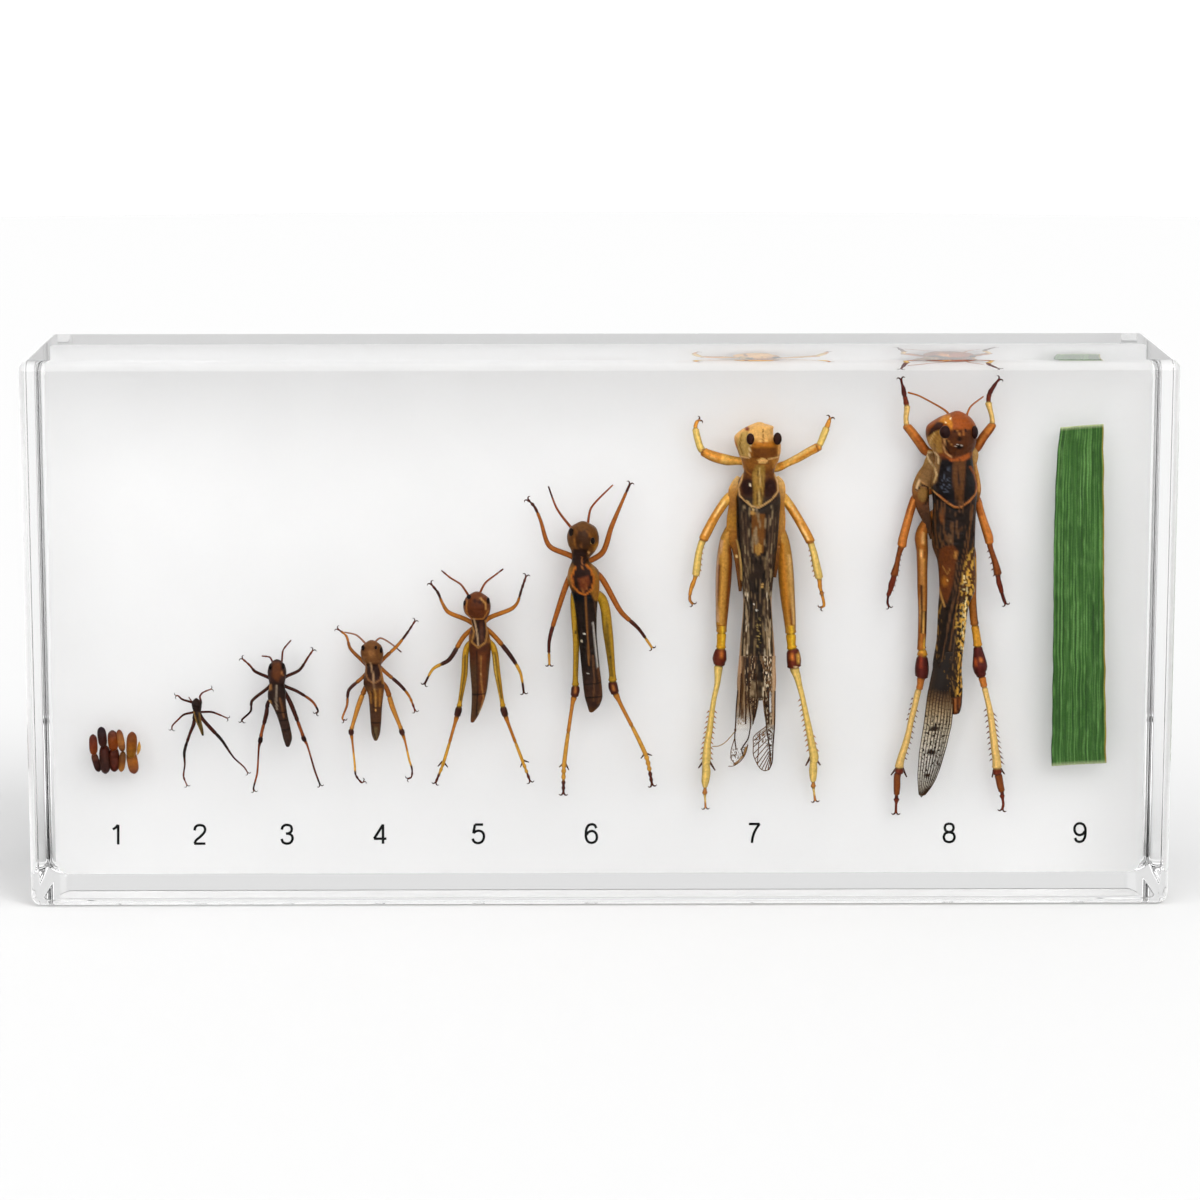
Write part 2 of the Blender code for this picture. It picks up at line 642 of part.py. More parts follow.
def upright_plate(name, front, back, grow, collection, finish=None):
    """The backing's outline, with rounded corners, as a plate between two depths."""
    right = BLOCK_WIDTH / 2 - BACKING_INSET + grow
    foot = BACKING_FOOT - grow
    head = BLOCK_HEIGHT - BACKING_INSET + grow
    radius = BACKING_CORNER + grow
    outline = []
    corners = [(1, head - radius, 0), (-1, head - radius, 1), (-1, foot + radius, 2), (1, foot + radius, 3)]
    for side, middle_z, quarter in corners:
        middle_x = side * (right - radius)
        for step in range(CORNER_STEPS + 1):
            angle = (quarter + step / CORNER_STEPS) * math.pi / 2
            outline.append((middle_x + radius * math.cos(angle), middle_z + radius * math.sin(angle)))
    shape = bmesh.new()
    face = shape.faces.new([shape.verts.new((x, front, z)) for x, z in outline])
    grown = bmesh.ops.extrude_face_region(shape, geom=[face])
    moved = [part for part in grown["geom"] if isinstance(part, bmesh.types.BMVert)]
    bmesh.ops.translate(shape, vec=(0.0, back - front, 0.0), verts=moved)
    bmesh.ops.recalc_face_normals(shape, faces=shape.faces)
    mesh = bpy.data.meshes.new(name)
    shape.to_mesh(mesh)
    shape.free()
    return add_object(name, mesh, collection, finish)


def rounded_box(name, low, high, width, segments, collection, finish=None):
    item = add_object(name, box_mesh(name, low, high), collection, finish)
    bevel = item.modifiers.new("rounded edges", "BEVEL")
    bevel.width = width
    bevel.segments = segments
    bevel.limit_method = "NONE"
    return item


def build():
    clear_scene()
    parts = new_collection("insect_in_resin_block")
    cutters = new_collection("cutters")
    pockets = new_collection("pockets", cutters)

    resin = material("clear_resin", (0.98, 0.99, 0.99), 0.0, transmission=1.0, ior=1.49)
    white = material("white_backing", (0.86, 0.86, 0.86), 0.5)
    shell = material("egg_shell", (0.16, 0.05, 0.02), 0.4)
    chip = material("amber_shell", (0.45, 0.2, 0.04), 0.4)
    dark_brown = material("nymph_dark_brown", (0.06, 0.025, 0.012), 0.45)
    brown = material("nymph_brown", (0.16, 0.06, 0.02), 0.45)
    amber = material("nymph_amber", (0.32, 0.14, 0.03), 0.45)
    pale = material("adult_tan", (0.48, 0.25, 0.08), 0.45)
    dark = material("adult_dark_brown", (0.08, 0.03, 0.015), 0.45)
    green = material("leaf_green", (0.04, 0.12, 0.02), 0.55)

    half_width = BLOCK_WIDTH / 2
    half_depth = BLOCK_DEPTH / 2
    backing_back = BACKING_FRONT + BACKING_THICKNESS

    eggs = [egg(number + 1, ends, shell, parts) for number, ends in enumerate(EGG_ENDS)]
    eggs.append(flat_outline("egg_shell_chip", SHELL_CHIP, 0.4 * MM, chip, parts))
    pocket("pocket_eggs", eggs, pockets)

    nymph_build = (NYMPH_REACH, NYMPH_LIMB_RESOLUTION, NYMPH_THICKNESS)
    adult_build = (ADULT_REACH, ADULT_LIMB_RESOLUTION, ADULT_THICKNESS)
    insects = [
        ("nymph_instar_1", NYMPH_1, nymph_build, dark_brown),
        ("nymph_instar_2", NYMPH_2, nymph_build, dark_brown),
        ("nymph_instar_3", NYMPH_3, nymph_build, brown),
        ("nymph_instar_4", NYMPH_4, nymph_build, amber),
        ("nymph_instar_5", NYMPH_5, nymph_build, amber),
        ("adult_pale", ADULT_PALE, adult_build, pale),
        ("adult_dark", ADULT_DARK, adult_build, dark),
    ]
    for name, plan, build_of_kind, finish in insects:
        made = insect(name, plan, *build_of_kind, finish, parts, cutters)
        pocket("pocket_" + name, [made], pockets)
    pocket("pocket_leaf", [leaf(green, parts)], pockets)

    block = rounded_box(
        "rounded_block",
        (-half_width, -half_depth, 0.0),
        (half_width, half_depth, BLOCK_HEIGHT),
        EDGE_ROUND,
        EDGE_SEGMENTS,
        cutters,
    )
    hide_helper(block)
    seat = new_collection("backing_seat", cutters)
    hide_helper(upright_plate("seat", BACKING_FRONT - 2 * GAP, backing_back + GAP, GAP, seat))
    resin_part("resin_front", -BLOCK_DEPTH, SHEET_Y - GAP / 2, block, pockets, resin, parts)
    resin_part("resin_middle", SHEET_Y + GAP / 2, BACKING_FRONT - GAP, block, pockets, resin, parts)
    resin_part("resin_back", BACKING_FRONT, BLOCK_DEPTH, block, seat, resin, parts)
    upright_plate("white_backing", BACKING_FRONT, backing_back, 0.0, parts, white)


build()
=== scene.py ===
"""Looks of the clear resin block with a locust's growth sealed in it."""

import math

import bmesh
import bpy
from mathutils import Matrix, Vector, noise


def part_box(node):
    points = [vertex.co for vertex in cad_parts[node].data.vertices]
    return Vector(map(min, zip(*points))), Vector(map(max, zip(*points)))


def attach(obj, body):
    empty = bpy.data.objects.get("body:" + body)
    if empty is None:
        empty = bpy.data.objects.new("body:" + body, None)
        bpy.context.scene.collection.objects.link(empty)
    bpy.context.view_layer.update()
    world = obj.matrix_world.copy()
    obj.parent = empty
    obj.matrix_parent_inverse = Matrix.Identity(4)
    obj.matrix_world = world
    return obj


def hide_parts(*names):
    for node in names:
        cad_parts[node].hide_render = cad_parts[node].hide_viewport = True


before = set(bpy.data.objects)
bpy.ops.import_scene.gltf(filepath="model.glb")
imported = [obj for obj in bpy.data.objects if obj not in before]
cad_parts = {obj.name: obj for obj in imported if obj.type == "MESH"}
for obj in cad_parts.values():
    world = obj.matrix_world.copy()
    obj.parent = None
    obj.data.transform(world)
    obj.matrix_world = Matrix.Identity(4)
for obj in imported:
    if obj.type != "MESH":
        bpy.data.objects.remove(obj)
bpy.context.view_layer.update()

MM = 0.001

# Camera, as found from the photograph's outline of the block
CAMERA_PLACE = (-5.4 * MM, -591.3 * MM, 148.0 * MM)
CAMERA_DIP = 10.18
CAMERA_TURN = -0.537
CAMERA_LENS = 122.2

# Studio
ROOM_FRONT = 2.3
ROOM_BACK = 0.8
ROOM_HORIZON = 1.2
KEY_FROM = (0.45, -0.6, 0.75)
KEY_STRENGTH = 1.3
KEY_SPREAD = 30.0
FLOOR_TONE = 0.54
FLOOR_RADIUS = 1.2
FLOOR_DROP = 0.1 * MM

# Block
EDGE_ROUND = 1.5 * MM
EDGE_SEGMENTS = 6
RESIN_IOR = 1.49

# Sheet that the specimens lie on, and what lies there at pixel (600, 600) of the front view
SHEET_Y = -0.6 * MM
SHEET_X = 0.133 * MM
SHEET_Z = 42.98 * MM
VIEW_MIDDLE = 600
PIXEL_MM = 0.14594
PIXEL = PIXEL_MM * MM
PIXEL_GROWTH = 6.4e-6 * MM
PIXEL_DROP = 0.14822 * MM

# What lies at that pixel on the backing, and how large a pixel is there, in mm
BACKING_X = 0.162
BACKING_Z = 42.43
BACKING_PIXEL = 0.14669
BACKING_DROP = 0.14898
BACKING_GROWTH = 6.4e-6

# Ink: how far it lies in front of the backing, and the share of its depth that is left
INK_LIFT = 0.03 * MM
INK_THICKNESS = 0.08

# Depth beside the sheet in mm: at the body, at the tip, and the rise of the bend between them
NYMPH_REACH = (0.5, 1.0, 0.5)
ADULT_REACH = (1.6, 2.6, 1.2)

# Depth of a body as a share of its width, at its head and at its tail
NYMPH_THICKNESS = (0.9, 0.8)
ADULT_THICKNESS = (1.0, 0.5)


# Ten eggs in five columns: the two ends of each, its width, and its colours from end to end
EGGS = [
    ((93.4, 733), (94.4, 754), 7.6, ["46201a", "6a2c16", "7c3a14"]),
    ((93.7, 752), (99.4, 771), 6.5, ["5a3018", "3a1c16", "2c1612"]),
    ((101.4, 725.6), (104, 746), 8.2, ["2c2026", "341a16", "3c1c14"]),
    ((104.6, 743.6), (105.8, 773), 10, ["4a1c12", "3e2018", "3a2420"]),
    ((112.6, 729), (114.2, 750), 9.2, ["4c2c26", "7c3808", "70300c"]),
    ((114.3, 746), (114.7, 771), 9.2, ["542010", "4e2012", "46180e"]),
    ((119.2, 728.4), (123.2, 750.5), 6.6, ["6a3422", "a86c36", "5c3018"]),
    ((123.4, 750.5), (121.2, 771), 6.4, ["64401c", "70401c", "ae7030"]),
    ((132.6, 730.6), (131.6, 757), 9.6, ["70381c", "80460e", "8a5c16"]),
    ((130.6, 749), (134.8, 773), 9.8, ["3c2010", "a05c1e", "6c3a2c"]),
]

# The amber chip of egg shell: its top and bottom, and half its width
CHIP_TOP = (139.4, 740.6)
CHIP_FOOT = (137.7, 754)
CHIP_HALF = 1.9


# Every body and limb is a list of (x, y, half width), in pixels, from the head or the root on. A letter
# for each row names its colour in the palette. Marks are laid over them in turn: the kind, the
# colour, how far it stands out in mm, and its shape.

NYMPH_1 = {
    "node": "nymph_instar_1",
    "palette": {"k": "241610", "b": "33231a", "o": "57431f", "d": "1c100c", "f": "3c160c", "s": "642a18",
        "t": "86584a", "e": "140a08"},
    "body_codes": "kkkkbood",
    "limb_codes": ["ft", "ffst", "fsst", "ffsst", "ffst", "kffkfst", "ffkfst"],
    "marks": [
        ("line", "9a7230", 0, (0.9, [(193.6, 711), (196.5, 722), (201.2, 733)])),
        ("line", "7a5c2c", 0, (0.6, [(199.5, 712), (202.6, 726)])),
        ("line", "140c0a", 0, (0.6, [(197, 712), (199, 722)])),
    ],
    "body": [
        (196.4, 697.5, 1), (196.6, 700, 3.8), (196.8, 704, 5.1), (197.2, 709, 4.2), (197.4, 713, 3.4),
        (198.7, 720, 2.9), (201.3, 728, 2.1), (203, 734.7, 0.9),
    ],
    "limbs": [
        [(192, 701, 0.7), (188.4, 697, 0.5)],
        [(192, 702, 1.2), (182, 698.6, 1), (178, 695.4, 0.8), (175.4, 696, 0.7)],
        [(201, 702.5, 1.2), (200, 696, 1), (202.7, 692.3, 0.9), (211.6, 689, 0.7)],
        [(192.4, 712, 1.2), (184, 714, 1.1), (177.7, 719.6, 0.9), (172.3, 725.4, 0.8), (171.6, 729.8, 0.7)],
        [(201.3, 711.5, 1.2), (211.6, 711.5, 1.1), (219.6, 714.6, 0.9), (227.7, 718.7, 0.7)],
        [(194.6, 715, 1.8), (193.8, 723.6, 1.9), (190, 733, 1.5), (184.5, 751, 1.5), (184.8, 764, 0.9),
            (183.5, 776.3, 0.9), (187, 786, 0.7)],
        [(201.8, 717.3, 1.8), (211, 728, 1.9), (221.4, 739.2, 1.5), (233.5, 757, 0.9), (243.8, 767, 0.8),
            (247.8, 773.6, 0.7)],
    ],
}

NYMPH_2 = {
    "node": "nymph_instar_2",
    "palette": {"h": "35201a", "m": "281812", "a": "38241a", "f": "3a180e", "s": "5c2814", "y": "86421c",
        "t": "6e3626", "k": "280f0a", "e": "120a08"},
    "body_codes": "hhhhmmmaaaah",
    "eyes": [(270.6, 665.5, 1.5, 3, -0.9), (283.6, 664.8, 1.5, 3, -0.9)],
    "limb_codes": ["sst", "sst", "ffst", "ffst", "ffkfs", "ffyks", "kfyksykt", "ffykysk"],
    "marks": [
        ("area", "5c3218", 0, (2, [(273, 661), (280, 661), (283, 673), (278, 681), (272, 675)])),
        ("line", "a2683c", 0, (0.6, [(281.5, 669.5), (283.2, 674)])),
        ("line", "93806c", 0.05, (0.8, [(276.6, 684), (276, 697), (277.2, 708)])),
        ("area", "8e6032", 0, (1.5, [(268, 683), (272, 683), (272, 688), (269, 690)])),
        ("area", "b27c3e", 0, (1.2, [(267, 699), (271, 699), (272, 703), (268, 703)])),
        ("line", "6a4426", 0, (0.9, [(280.5, 697), (282, 705), (284, 716)])),
        ("line", "140a06", -0.05, (0.5, [(275, 712), (287, 711)])),
        ("line", "140a06", -0.05, (0.5, [(278, 720), (289, 718.5)])),
        ("line", "140a06", -0.05, (0.5, [(280, 729), (291, 728)])),
    ],
    "body": [
        (277, 659.5, 3), (277, 664, 7.6), (277, 671, 9.4), (277, 679, 8.4), (277, 684, 7.6),
        (276.8, 692, 9), (277, 699, 8.8), (279.5, 706, 6.8), (282.5, 716, 5.4), (285.5, 727, 4.9),
        (287.6, 738, 4.4), (287.7, 746, 1.6),
    ],
    "limbs": [
        [(272.8, 662, 1), (269.6, 657, 0.9), (261.4, 656.3, 0.7)],
        [(281.5, 662, 1), (283, 650, 0.9), (290.7, 640.5, 0.7)],
        [(268, 677, 1.7), (255, 671, 1.5), (249.5, 665, 1.1), (241.4, 658.4, 0.9)],
        [(286.4, 676, 1.7), (299.4, 669.6, 1.5), (308, 657, 1.1), (313, 650, 0.9)],
        [(269, 686.4, 1.7), (252, 700.5, 1.5), (250.6, 710.8, 1.1), (242, 719.4, 1), (241.7, 722, 0.9)],
        [(285.3, 686, 1.7), (297, 691, 1.6), (312, 701, 1.3), (317.8, 711, 1), (315.7, 714, 0.9)],
        [(268, 702.6, 2), (266.3, 713.5, 2.2), (261.4, 733, 1.6), (260.4, 739.5, 2.4), (258.8, 747, 1.1),
            (257, 773, 1), (253.3, 788.3, 0.9), (254, 791.5, 0.8)],
        [(285.3, 693, 2), (291.8, 706, 2.3), (302, 733, 1.6), (303.5, 738, 2.4), (307, 745, 1.1),
            (314.6, 771, 1), (320, 786, 0.9)],
    ],
}

NYMPH_3 = {
    "node": "nymph_instar_3",
    "palette": {"h": "6c4320", "n": "432614", "w": "70461c", "a": "4c2e18", "f": "90521e", "k": "40201a",
        "y": "b87a30", "s": "b06a24", "S": "d8a038", "t": "5e2618", "r": "94644a", "e": "1c0e0a"},
    "body_codes": "hhhhnnnwaaah",
    "eyes": [(363, 646.6, 1.7, 2.9, -1.1), (381.2, 649, 1.5, 3, -1), (376, 646, 1.5, 1.9, -1.4)],
    "limb_codes": ["rrr", "rrrt", "ffst", "fskt", "fkfst", "fkst", "fyyksSktt", "fyyksSktt"],
    "marks": [
        ("spot", "8a5a30", 0, (371.5, 651.5, 3.2, 4, 0.8)),
        ("area", "2c160e", -0.05, (1.5, [(366.5, 663), (379, 663), (380, 672), (379, 679), (368, 679)])),
        ("line", "8a5c38", 0.08, (0.8, [(365.7, 662), (365.6, 672), (368, 678), (374, 682), (380.2, 678.6),
            (381.6, 673), (379, 664)])),
        ("line", "a5805c", 0.08, (0.8, [(370.2, 661.5), (373.5, 675), (375.2, 688)])),
        ("line", "b07c3a", 0.05, (0.9, [(375.2, 688), (375.8, 705)])),
        ("spot", "d89a50", 0, (375.6, 709, 0.9, 1.2, 0.6)),
        ("area", "a06a26", 0, (1.5, [(381, 668), (385, 672), (385, 685), (382, 682)])),
        ("line", "94602a", 0, (1, [(380.5, 688), (379.5, 705)])),
        ("line", "94602a", 0, (0.8, [(370.5, 690), (371.2, 702)])),
        ("line", "241008", 0, (0.7, [(372, 688), (373, 706)])),
        ("line", "1c0c06", -0.06, (0.6, [(368, 722), (382, 722)])),
        ("line", "5e4a2c", 0, (2.2, [(375.6, 728), (375.6, 738)])),
        ("line", "2c180e", 0, (0.5, [(372, 724), (375.5, 738)])),
    ],
    "body": [
        (371.6, 640.5, 3.5), (371.6, 645, 9.4), (371.8, 652, 11.4), (372.2, 660, 10.2), (373, 665, 8),
        (373.4, 674, 9.2), (373.8, 684, 10.4), (375.6, 694, 7.8), (375.6, 705, 6.5), (375.7, 724, 5.2),
        (375.6, 734, 4), (375.5, 740, 1.5),
    ],
    "limbs": [
        [(365, 643, 1), (356, 635, 0.9), (344, 632.6, 0.7)],
        [(374, 643, 1), (380, 638, 0.9), (389.6, 643, 0.8), (401, 652.7, 0.7)],
        [(361.5, 660, 1.9), (350, 648, 1.6), (346, 636, 1.2), (336.7, 629, 0.9)],
        [(383, 659, 1.9), (397, 645.6, 1.6), (407, 633, 1.2), (415, 621, 0.9)],
        [(364, 675.7, 1.9), (348.8, 689.8, 1.7), (346.8, 705, 1.2), (342, 718.6, 1), (344, 721, 0.9)],
        [(384, 671, 1.9), (400, 685, 1.7), (409, 696.5, 1.3), (415, 712, 0.9)],
        [(366, 686, 2.4), (358.8, 704, 2.6), (352, 726.6, 1.9), (351, 731, 2.8), (352, 740, 1.2),
            (354.6, 765, 1.1), (355.5, 775, 1), (361.5, 783, 0.9), (364, 781.5, 0.8)],
        [(385.6, 687, 2.4), (392, 706.5, 2.6), (400, 726.6, 1.9), (401.4, 731, 2.8), (404.5, 740, 1.2),
            (409, 760, 1.1), (411.7, 769.5, 1), (411, 777.5, 0.9), (407, 779.5, 0.8)],
    ],
}

NYMPH_4 = {
    "node": "nymph_instar_4",
    "palette": {"h": "643416", "n": "34190f", "w": "4c2612", "a": "4e321c", "f": "a2601e", "k": "3c1c14",
        "y": "ba8a22", "o": "b06a22", "s": "cc9432", "t": "58261a", "r": "84421e", "e": "160a08"},
    "body_codes": "hhhhnnwwwaaaah",
    "eyes": [(468.7, 595.6, 2.4, 2.2, -1.1), (464.6, 602.4, 1.5, 2.8, -0.8), (488, 600, 1.6, 3.4, -0.9)],
    "limb_codes": ["rrrt", "rrrt", "fofkt", "fofkt", "fksk", "fksk", "yyykost", "yyykost"],
    "marks": [
        ("spot", "57290f", 0, (476, 607, 9, 9, 0.4)),
        ("line", "a8682c", 0.05, (0.7, [(467, 600), (466, 611), (471, 618), (483, 618), (488, 610)])),
        # Painted highlight on the right side of the head
        ("line", "c08a4c", 0, (0.8, [(480.5, 597), (485, 602), (486, 608)])),
        ("spot", "2c120a", 0, (474.8, 599.5, 1.8, 2, 0.6)),
        ("spot", "2c120a", 0, (480, 600.5, 1.8, 2, 0.6)),
        ("area", "2a140c", 0, (1.5, [(470, 619), (485.5, 619), (487, 631), (485.5, 640), (478, 645.5),
            (472, 640), (474, 631)])),
        ("line", "4a2816", 0, (1.6, [(481, 622), (482, 640)])),
        ("line", "9a6a34", 0.12, (0.9, [(470, 620), (474, 631), (471.5, 641), (478, 646.5), (485.6, 641),
            (487, 631), (485.4, 620)])),
        ("line", "b0906c", 0.08, (0.8, [(473.8, 618), (476.5, 630), (478, 644)])),
        ("area", "8e5a1c", 0, (2, [(465, 632), (470, 634), (469, 644), (464, 642)])),
        ("area", "8e5a1c", 0, (2, [(489, 630), (494, 634), (493, 642), (488, 642)])),
        ("area", "5e3014", 0, (3, [(476, 652), (486, 650), (486, 690), (482, 706), (478, 700)])),
        ("line", "946030", 0.05, (0.9, [(480.6, 655), (480.8, 676), (482, 688), (483.4, 697), (481, 707)])),
        ("spot", "c08a50", 0, (480.6, 673, 0.9, 1.2, 0.6)),
        ("line", "22120a", 0, (0.7, [(477, 650), (477.5, 690), (476, 715)])),
        ("area", "cbb084", 0, (1.5, [(478.5, 712), (482, 706), (484, 700), (484, 708), (480, 716)])),
        ("line", "1c0e08", -0.06, (0.6, [(470, 694), (487, 693)])),
    ],
    "limb_marks": [
        ("line", "5a3c16", 0, (0.8, [(465.5, 655), (463.5, 680), (460.5, 700)])),
        ("line", "5a3c16", 0, (0.8, [(495, 652), (498.5, 680), (501.5, 698)])),
        ("line", "d6ae4a", 0, (0.6, [(493.5, 655), (496, 680), (499.5, 700)])),
    ],
    "spurs": [
        [(443, 762, 1.1), (447.5, 768, 0.5)], [(442, 762, 1.1), (437.5, 767, 0.5)],
        [(523, 761, 1.1), (528.6, 763, 0.5)], [(523, 761, 1.1), (520, 768, 0.5)],
    ],
    "body": [
        (476.6, 592.5, 4.5), (476.6, 597, 11), (476.6, 605, 13.8), (477, 613, 12.4), (478.5, 619, 8),
        (479, 627, 7.6), (479, 635, 10.4), (479.6, 646, 11), (479.6, 657, 10.4), (479.4, 667, 9.8),
        (479, 690, 7.7), (476.5, 707, 5.4), (474, 716, 3.6), (472, 722, 1.6),
    ],
    "limbs": [
        [(468, 595, 1.2), (460.5, 584.5, 1), (450, 578, 0.9), (441, 571, 0.8)],
        [(479, 595, 1.2), (485, 583, 1), (494, 576, 0.9), (503, 569.5, 0.8)],
        [(466.6, 620, 2.4), (448, 612, 2.1), (442, 603, 1.5), (437.6, 593, 1.3), (430, 583.7, 1.1)],
        [(489, 618, 2.4), (511, 609, 2.1), (517, 603, 1.5), (521, 590.6, 1.3), (526, 576, 1.1)],
        [(464, 636, 2.4), (449, 659.5, 2.2), (433, 669, 1.5), (424, 685, 1.1)],
        [(493, 635, 2.4), (510, 655.7, 2.2), (520, 673, 1.5), (523.6, 694, 1.1)],
        [(466.6, 648, 3.2), (464, 675, 3.2), (459.7, 702, 2.2), (458, 711, 3.5), (454.5, 724, 1.7),
            (443, 763.6, 1.6), (435, 784, 1.1)],
        [(492.7, 647, 3.2), (497, 673, 3.2), (501.8, 702, 2.2), (503.6, 711, 3.5), (508, 724, 1.7),
            (523, 763.6, 1.6), (530, 782.7, 1.1)],
    ],
}

NYMPH_5 = {
    "node": "nymph_instar_5",
    "palette": {"h": "603a14", "n": "2a170c", "p": "8a5a1e", "w": "20140e", "a": "3c2418", "f": "9c561e",
        "k": "4a2016", "y": "ac821f", "o": "b8742a", "s": "cc9238", "t": "4e2216", "r": "8a421c",
        "e": "180c08"},
    "body_codes": "hhhhhnppwwwwaah",
    "eyes": [(571, 531.5, 2.7, 4.2, -1.2), (592.4, 539.6, 2.2, 3.4, -1.8)],
    "limb_codes": ["rrk", "rrr", "fffktt", "fffkt", "ffkst", "ffkst", "yyykost", "yyykost"],
    "marks": [
        ("area", "3e220c", 0, (2, [(577, 529), (588, 529), (592, 541), (588, 549), (578, 550),
            (573, 541)])),
        ("line", "8a5420", 0.06, (0.7, [(576, 530), (574, 540), (577, 549)])),
        ("line", "8a5420", 0.06, (0.7, [(581.5, 529), (581.5, 546)])),
        ("line", "7a4818", 0.04, (1, [(587, 530), (591, 537)])),
        ("spot", "d8a858", 0.05, (591.2, 541.5, 1, 1.4, 0.6)),
        ("spot", "c08a50", 0.05, (588.6, 551.8, 1, 1.6, 0.6)),
        ("spot", "9a661e", 0.2, (598.2, 548.5, 5, 6.5, 0.5)),
        ("area", "905e1e", 0.05, (2, [(588, 556), (600, 556), (606, 570), (606, 590), (602, 602),
            (594, 600), (590, 590), (596, 578), (592, 568)])),
        ("spot", "5a3a12", -0.1, (600.6, 567, 2.6, 4, 0.5)),
        ("line", "5a3a12", -0.08, (0.8, [(592, 561), (598, 573), (604, 577)])),
        ("spot", "5a3a12", -0.1, (603, 598, 1.8, 2.4, 0.5)),
        ("area", "241008", 0.05, (1.2, [(573, 548), (571.8, 560), (575, 567), (571.2, 575), (573, 585),
            (579, 591), (585, 593), (591, 588), (593.6, 578), (591, 570), (586, 565), (585.5, 558),
            (588, 548)])),
        ("area", "6a3214", 0, (2, [(578, 577), (588, 574), (590, 582), (584, 590), (580, 588)])),
        ("line", "9a5a28", 0.06, (0.6, [(581.6, 556), (582, 575), (583, 591)])),
        ("line", "8a4a20", 0.04, (0.6, [(586, 576), (586.5, 588)])),
        ("line", "b8641e", 0.14, (0.9, [(575, 566), (571.2, 575), (572.5, 585), (579, 591.5), (585, 593.5),
            (591.5, 588), (594, 578), (591, 569.5), (586.2, 564)])),
        ("line", "805020", 0.05, (0.8, [(585.6, 596), (586.6, 620), (588, 650), (588.6, 664)])),
        ("line", "100a06", -0.08, (0.8, [(582.5, 596), (583.4, 625), (584, 660)])),
        ("line", "b8b0a8", 0, (0.8, [(592.6, 622), (595, 645), (597.4, 668)])),
        ("line", "4a3424", 0.04, (0.7, [(594, 600), (596.5, 620), (597.5, 641)])),
        ("spot", "f0e8d8", 0, (583.9, 632.9, 0.9, 0.9, 0.5)),
        ("spot", "e8d8b8", 0, (581.3, 640.3, 1, 1.1, 0.5)),
        ("line", "5e3c22", 0.05, (0.8, [(592.5, 655), (594, 680), (593, 700)])),
        ("line", "56341c", 0, (1.6, [(598, 668), (601, 690), (598, 702)])),
        ("line", "120a06", -0.06, (0.6, [(583, 684), (602, 682)])),
        ("line", "120a06", -0.06, (0.6, [(585, 697), (601, 696)])),
        ("spot", "d8d0c0", 0, (587.5, 672.5, 0.8, 0.8, 0.5)),
    ],
    "limb_marks": [
        ("line", "6a5016", 0, (0.7, [(604.5, 612), (609.5, 645), (612.5, 676)])),
        ("line", "6a5016", 0, (0.6, [(601.5, 612), (606.5, 645), (610, 676)])),
        ("spot", "3c2c10", 0, (609.6, 657, 1.2, 1.8, 0.6)),
        ("spot", "3c2c10", 0, (575.4, 632, 1.2, 1.8, 0.6)),
        ("line", "7a5a1a", 0, (0.7, [(577.5, 610), (576.6, 645), (576, 676)])),
        ("spot", "b06a30", 0, (575, 690, 1.4, 3.4, 0.8)), ("spot", "b06a30", 0, (613, 688, 1.4, 3.4, 0.8)),
    ],
    "spurs": [
        [(564.5, 763, 1.3), (558.8, 768, 0.5)], [(564.5, 763, 1.3), (568.6, 771, 0.5)],
        [(645, 754, 1.3), (640.5, 759.5, 0.5)], [(645, 754, 1.3), (651.8, 756.5, 0.5)],
    ],
    "body": [
        (582.6, 522.5, 5), (582.6, 527, 12.5), (582.6, 536, 16), (583, 545, 15), (583, 551, 12),
        (580, 560, 8.5), (583, 570, 15), (583, 580, 16), (585, 592, 14), (585.5, 604, 11.5),
        (587, 632.6, 9.4), (590, 665, 9.2), (593.2, 696, 9), (593, 706, 6), (591, 712, 2),
    ],
    "limbs": [
        [(571, 528, 1.4), (556.6, 509, 1.1), (548, 487, 0.8)],
        [(587, 526, 1.4), (591, 508, 1.1), (612.6, 485.6, 0.8)],
        [(572, 557, 2.9), (549, 546, 2.5), (540, 520, 1.7), (534, 507, 1.4), (527, 500, 1.2)],
        [(602, 553, 2.9), (611, 527.5, 2.5), (621.7, 502.5, 1.7), (630, 484, 1.2)],
        [(569.6, 577, 3), (557, 612, 2.6), (549, 641, 1.8), (549, 666, 1.2)],
        [(600, 577, 3), (620.6, 612, 2.6), (638, 629, 1.8), (652, 649, 1.2)],
        [(574, 594, 3.6), (575.7, 643.5, 3.2), (575, 680, 2.8), (575, 691, 4.4), (572, 705, 2),
            (563.8, 765, 2.2), (563, 795, 1.4)],
        [(602, 600, 4.8), (607.6, 632.6, 5), (612, 674, 3.4), (613, 688, 4.8), (619, 702, 2.1),
            (645.5, 756, 2.2), (652, 786.6, 1.4)],
    ],
}

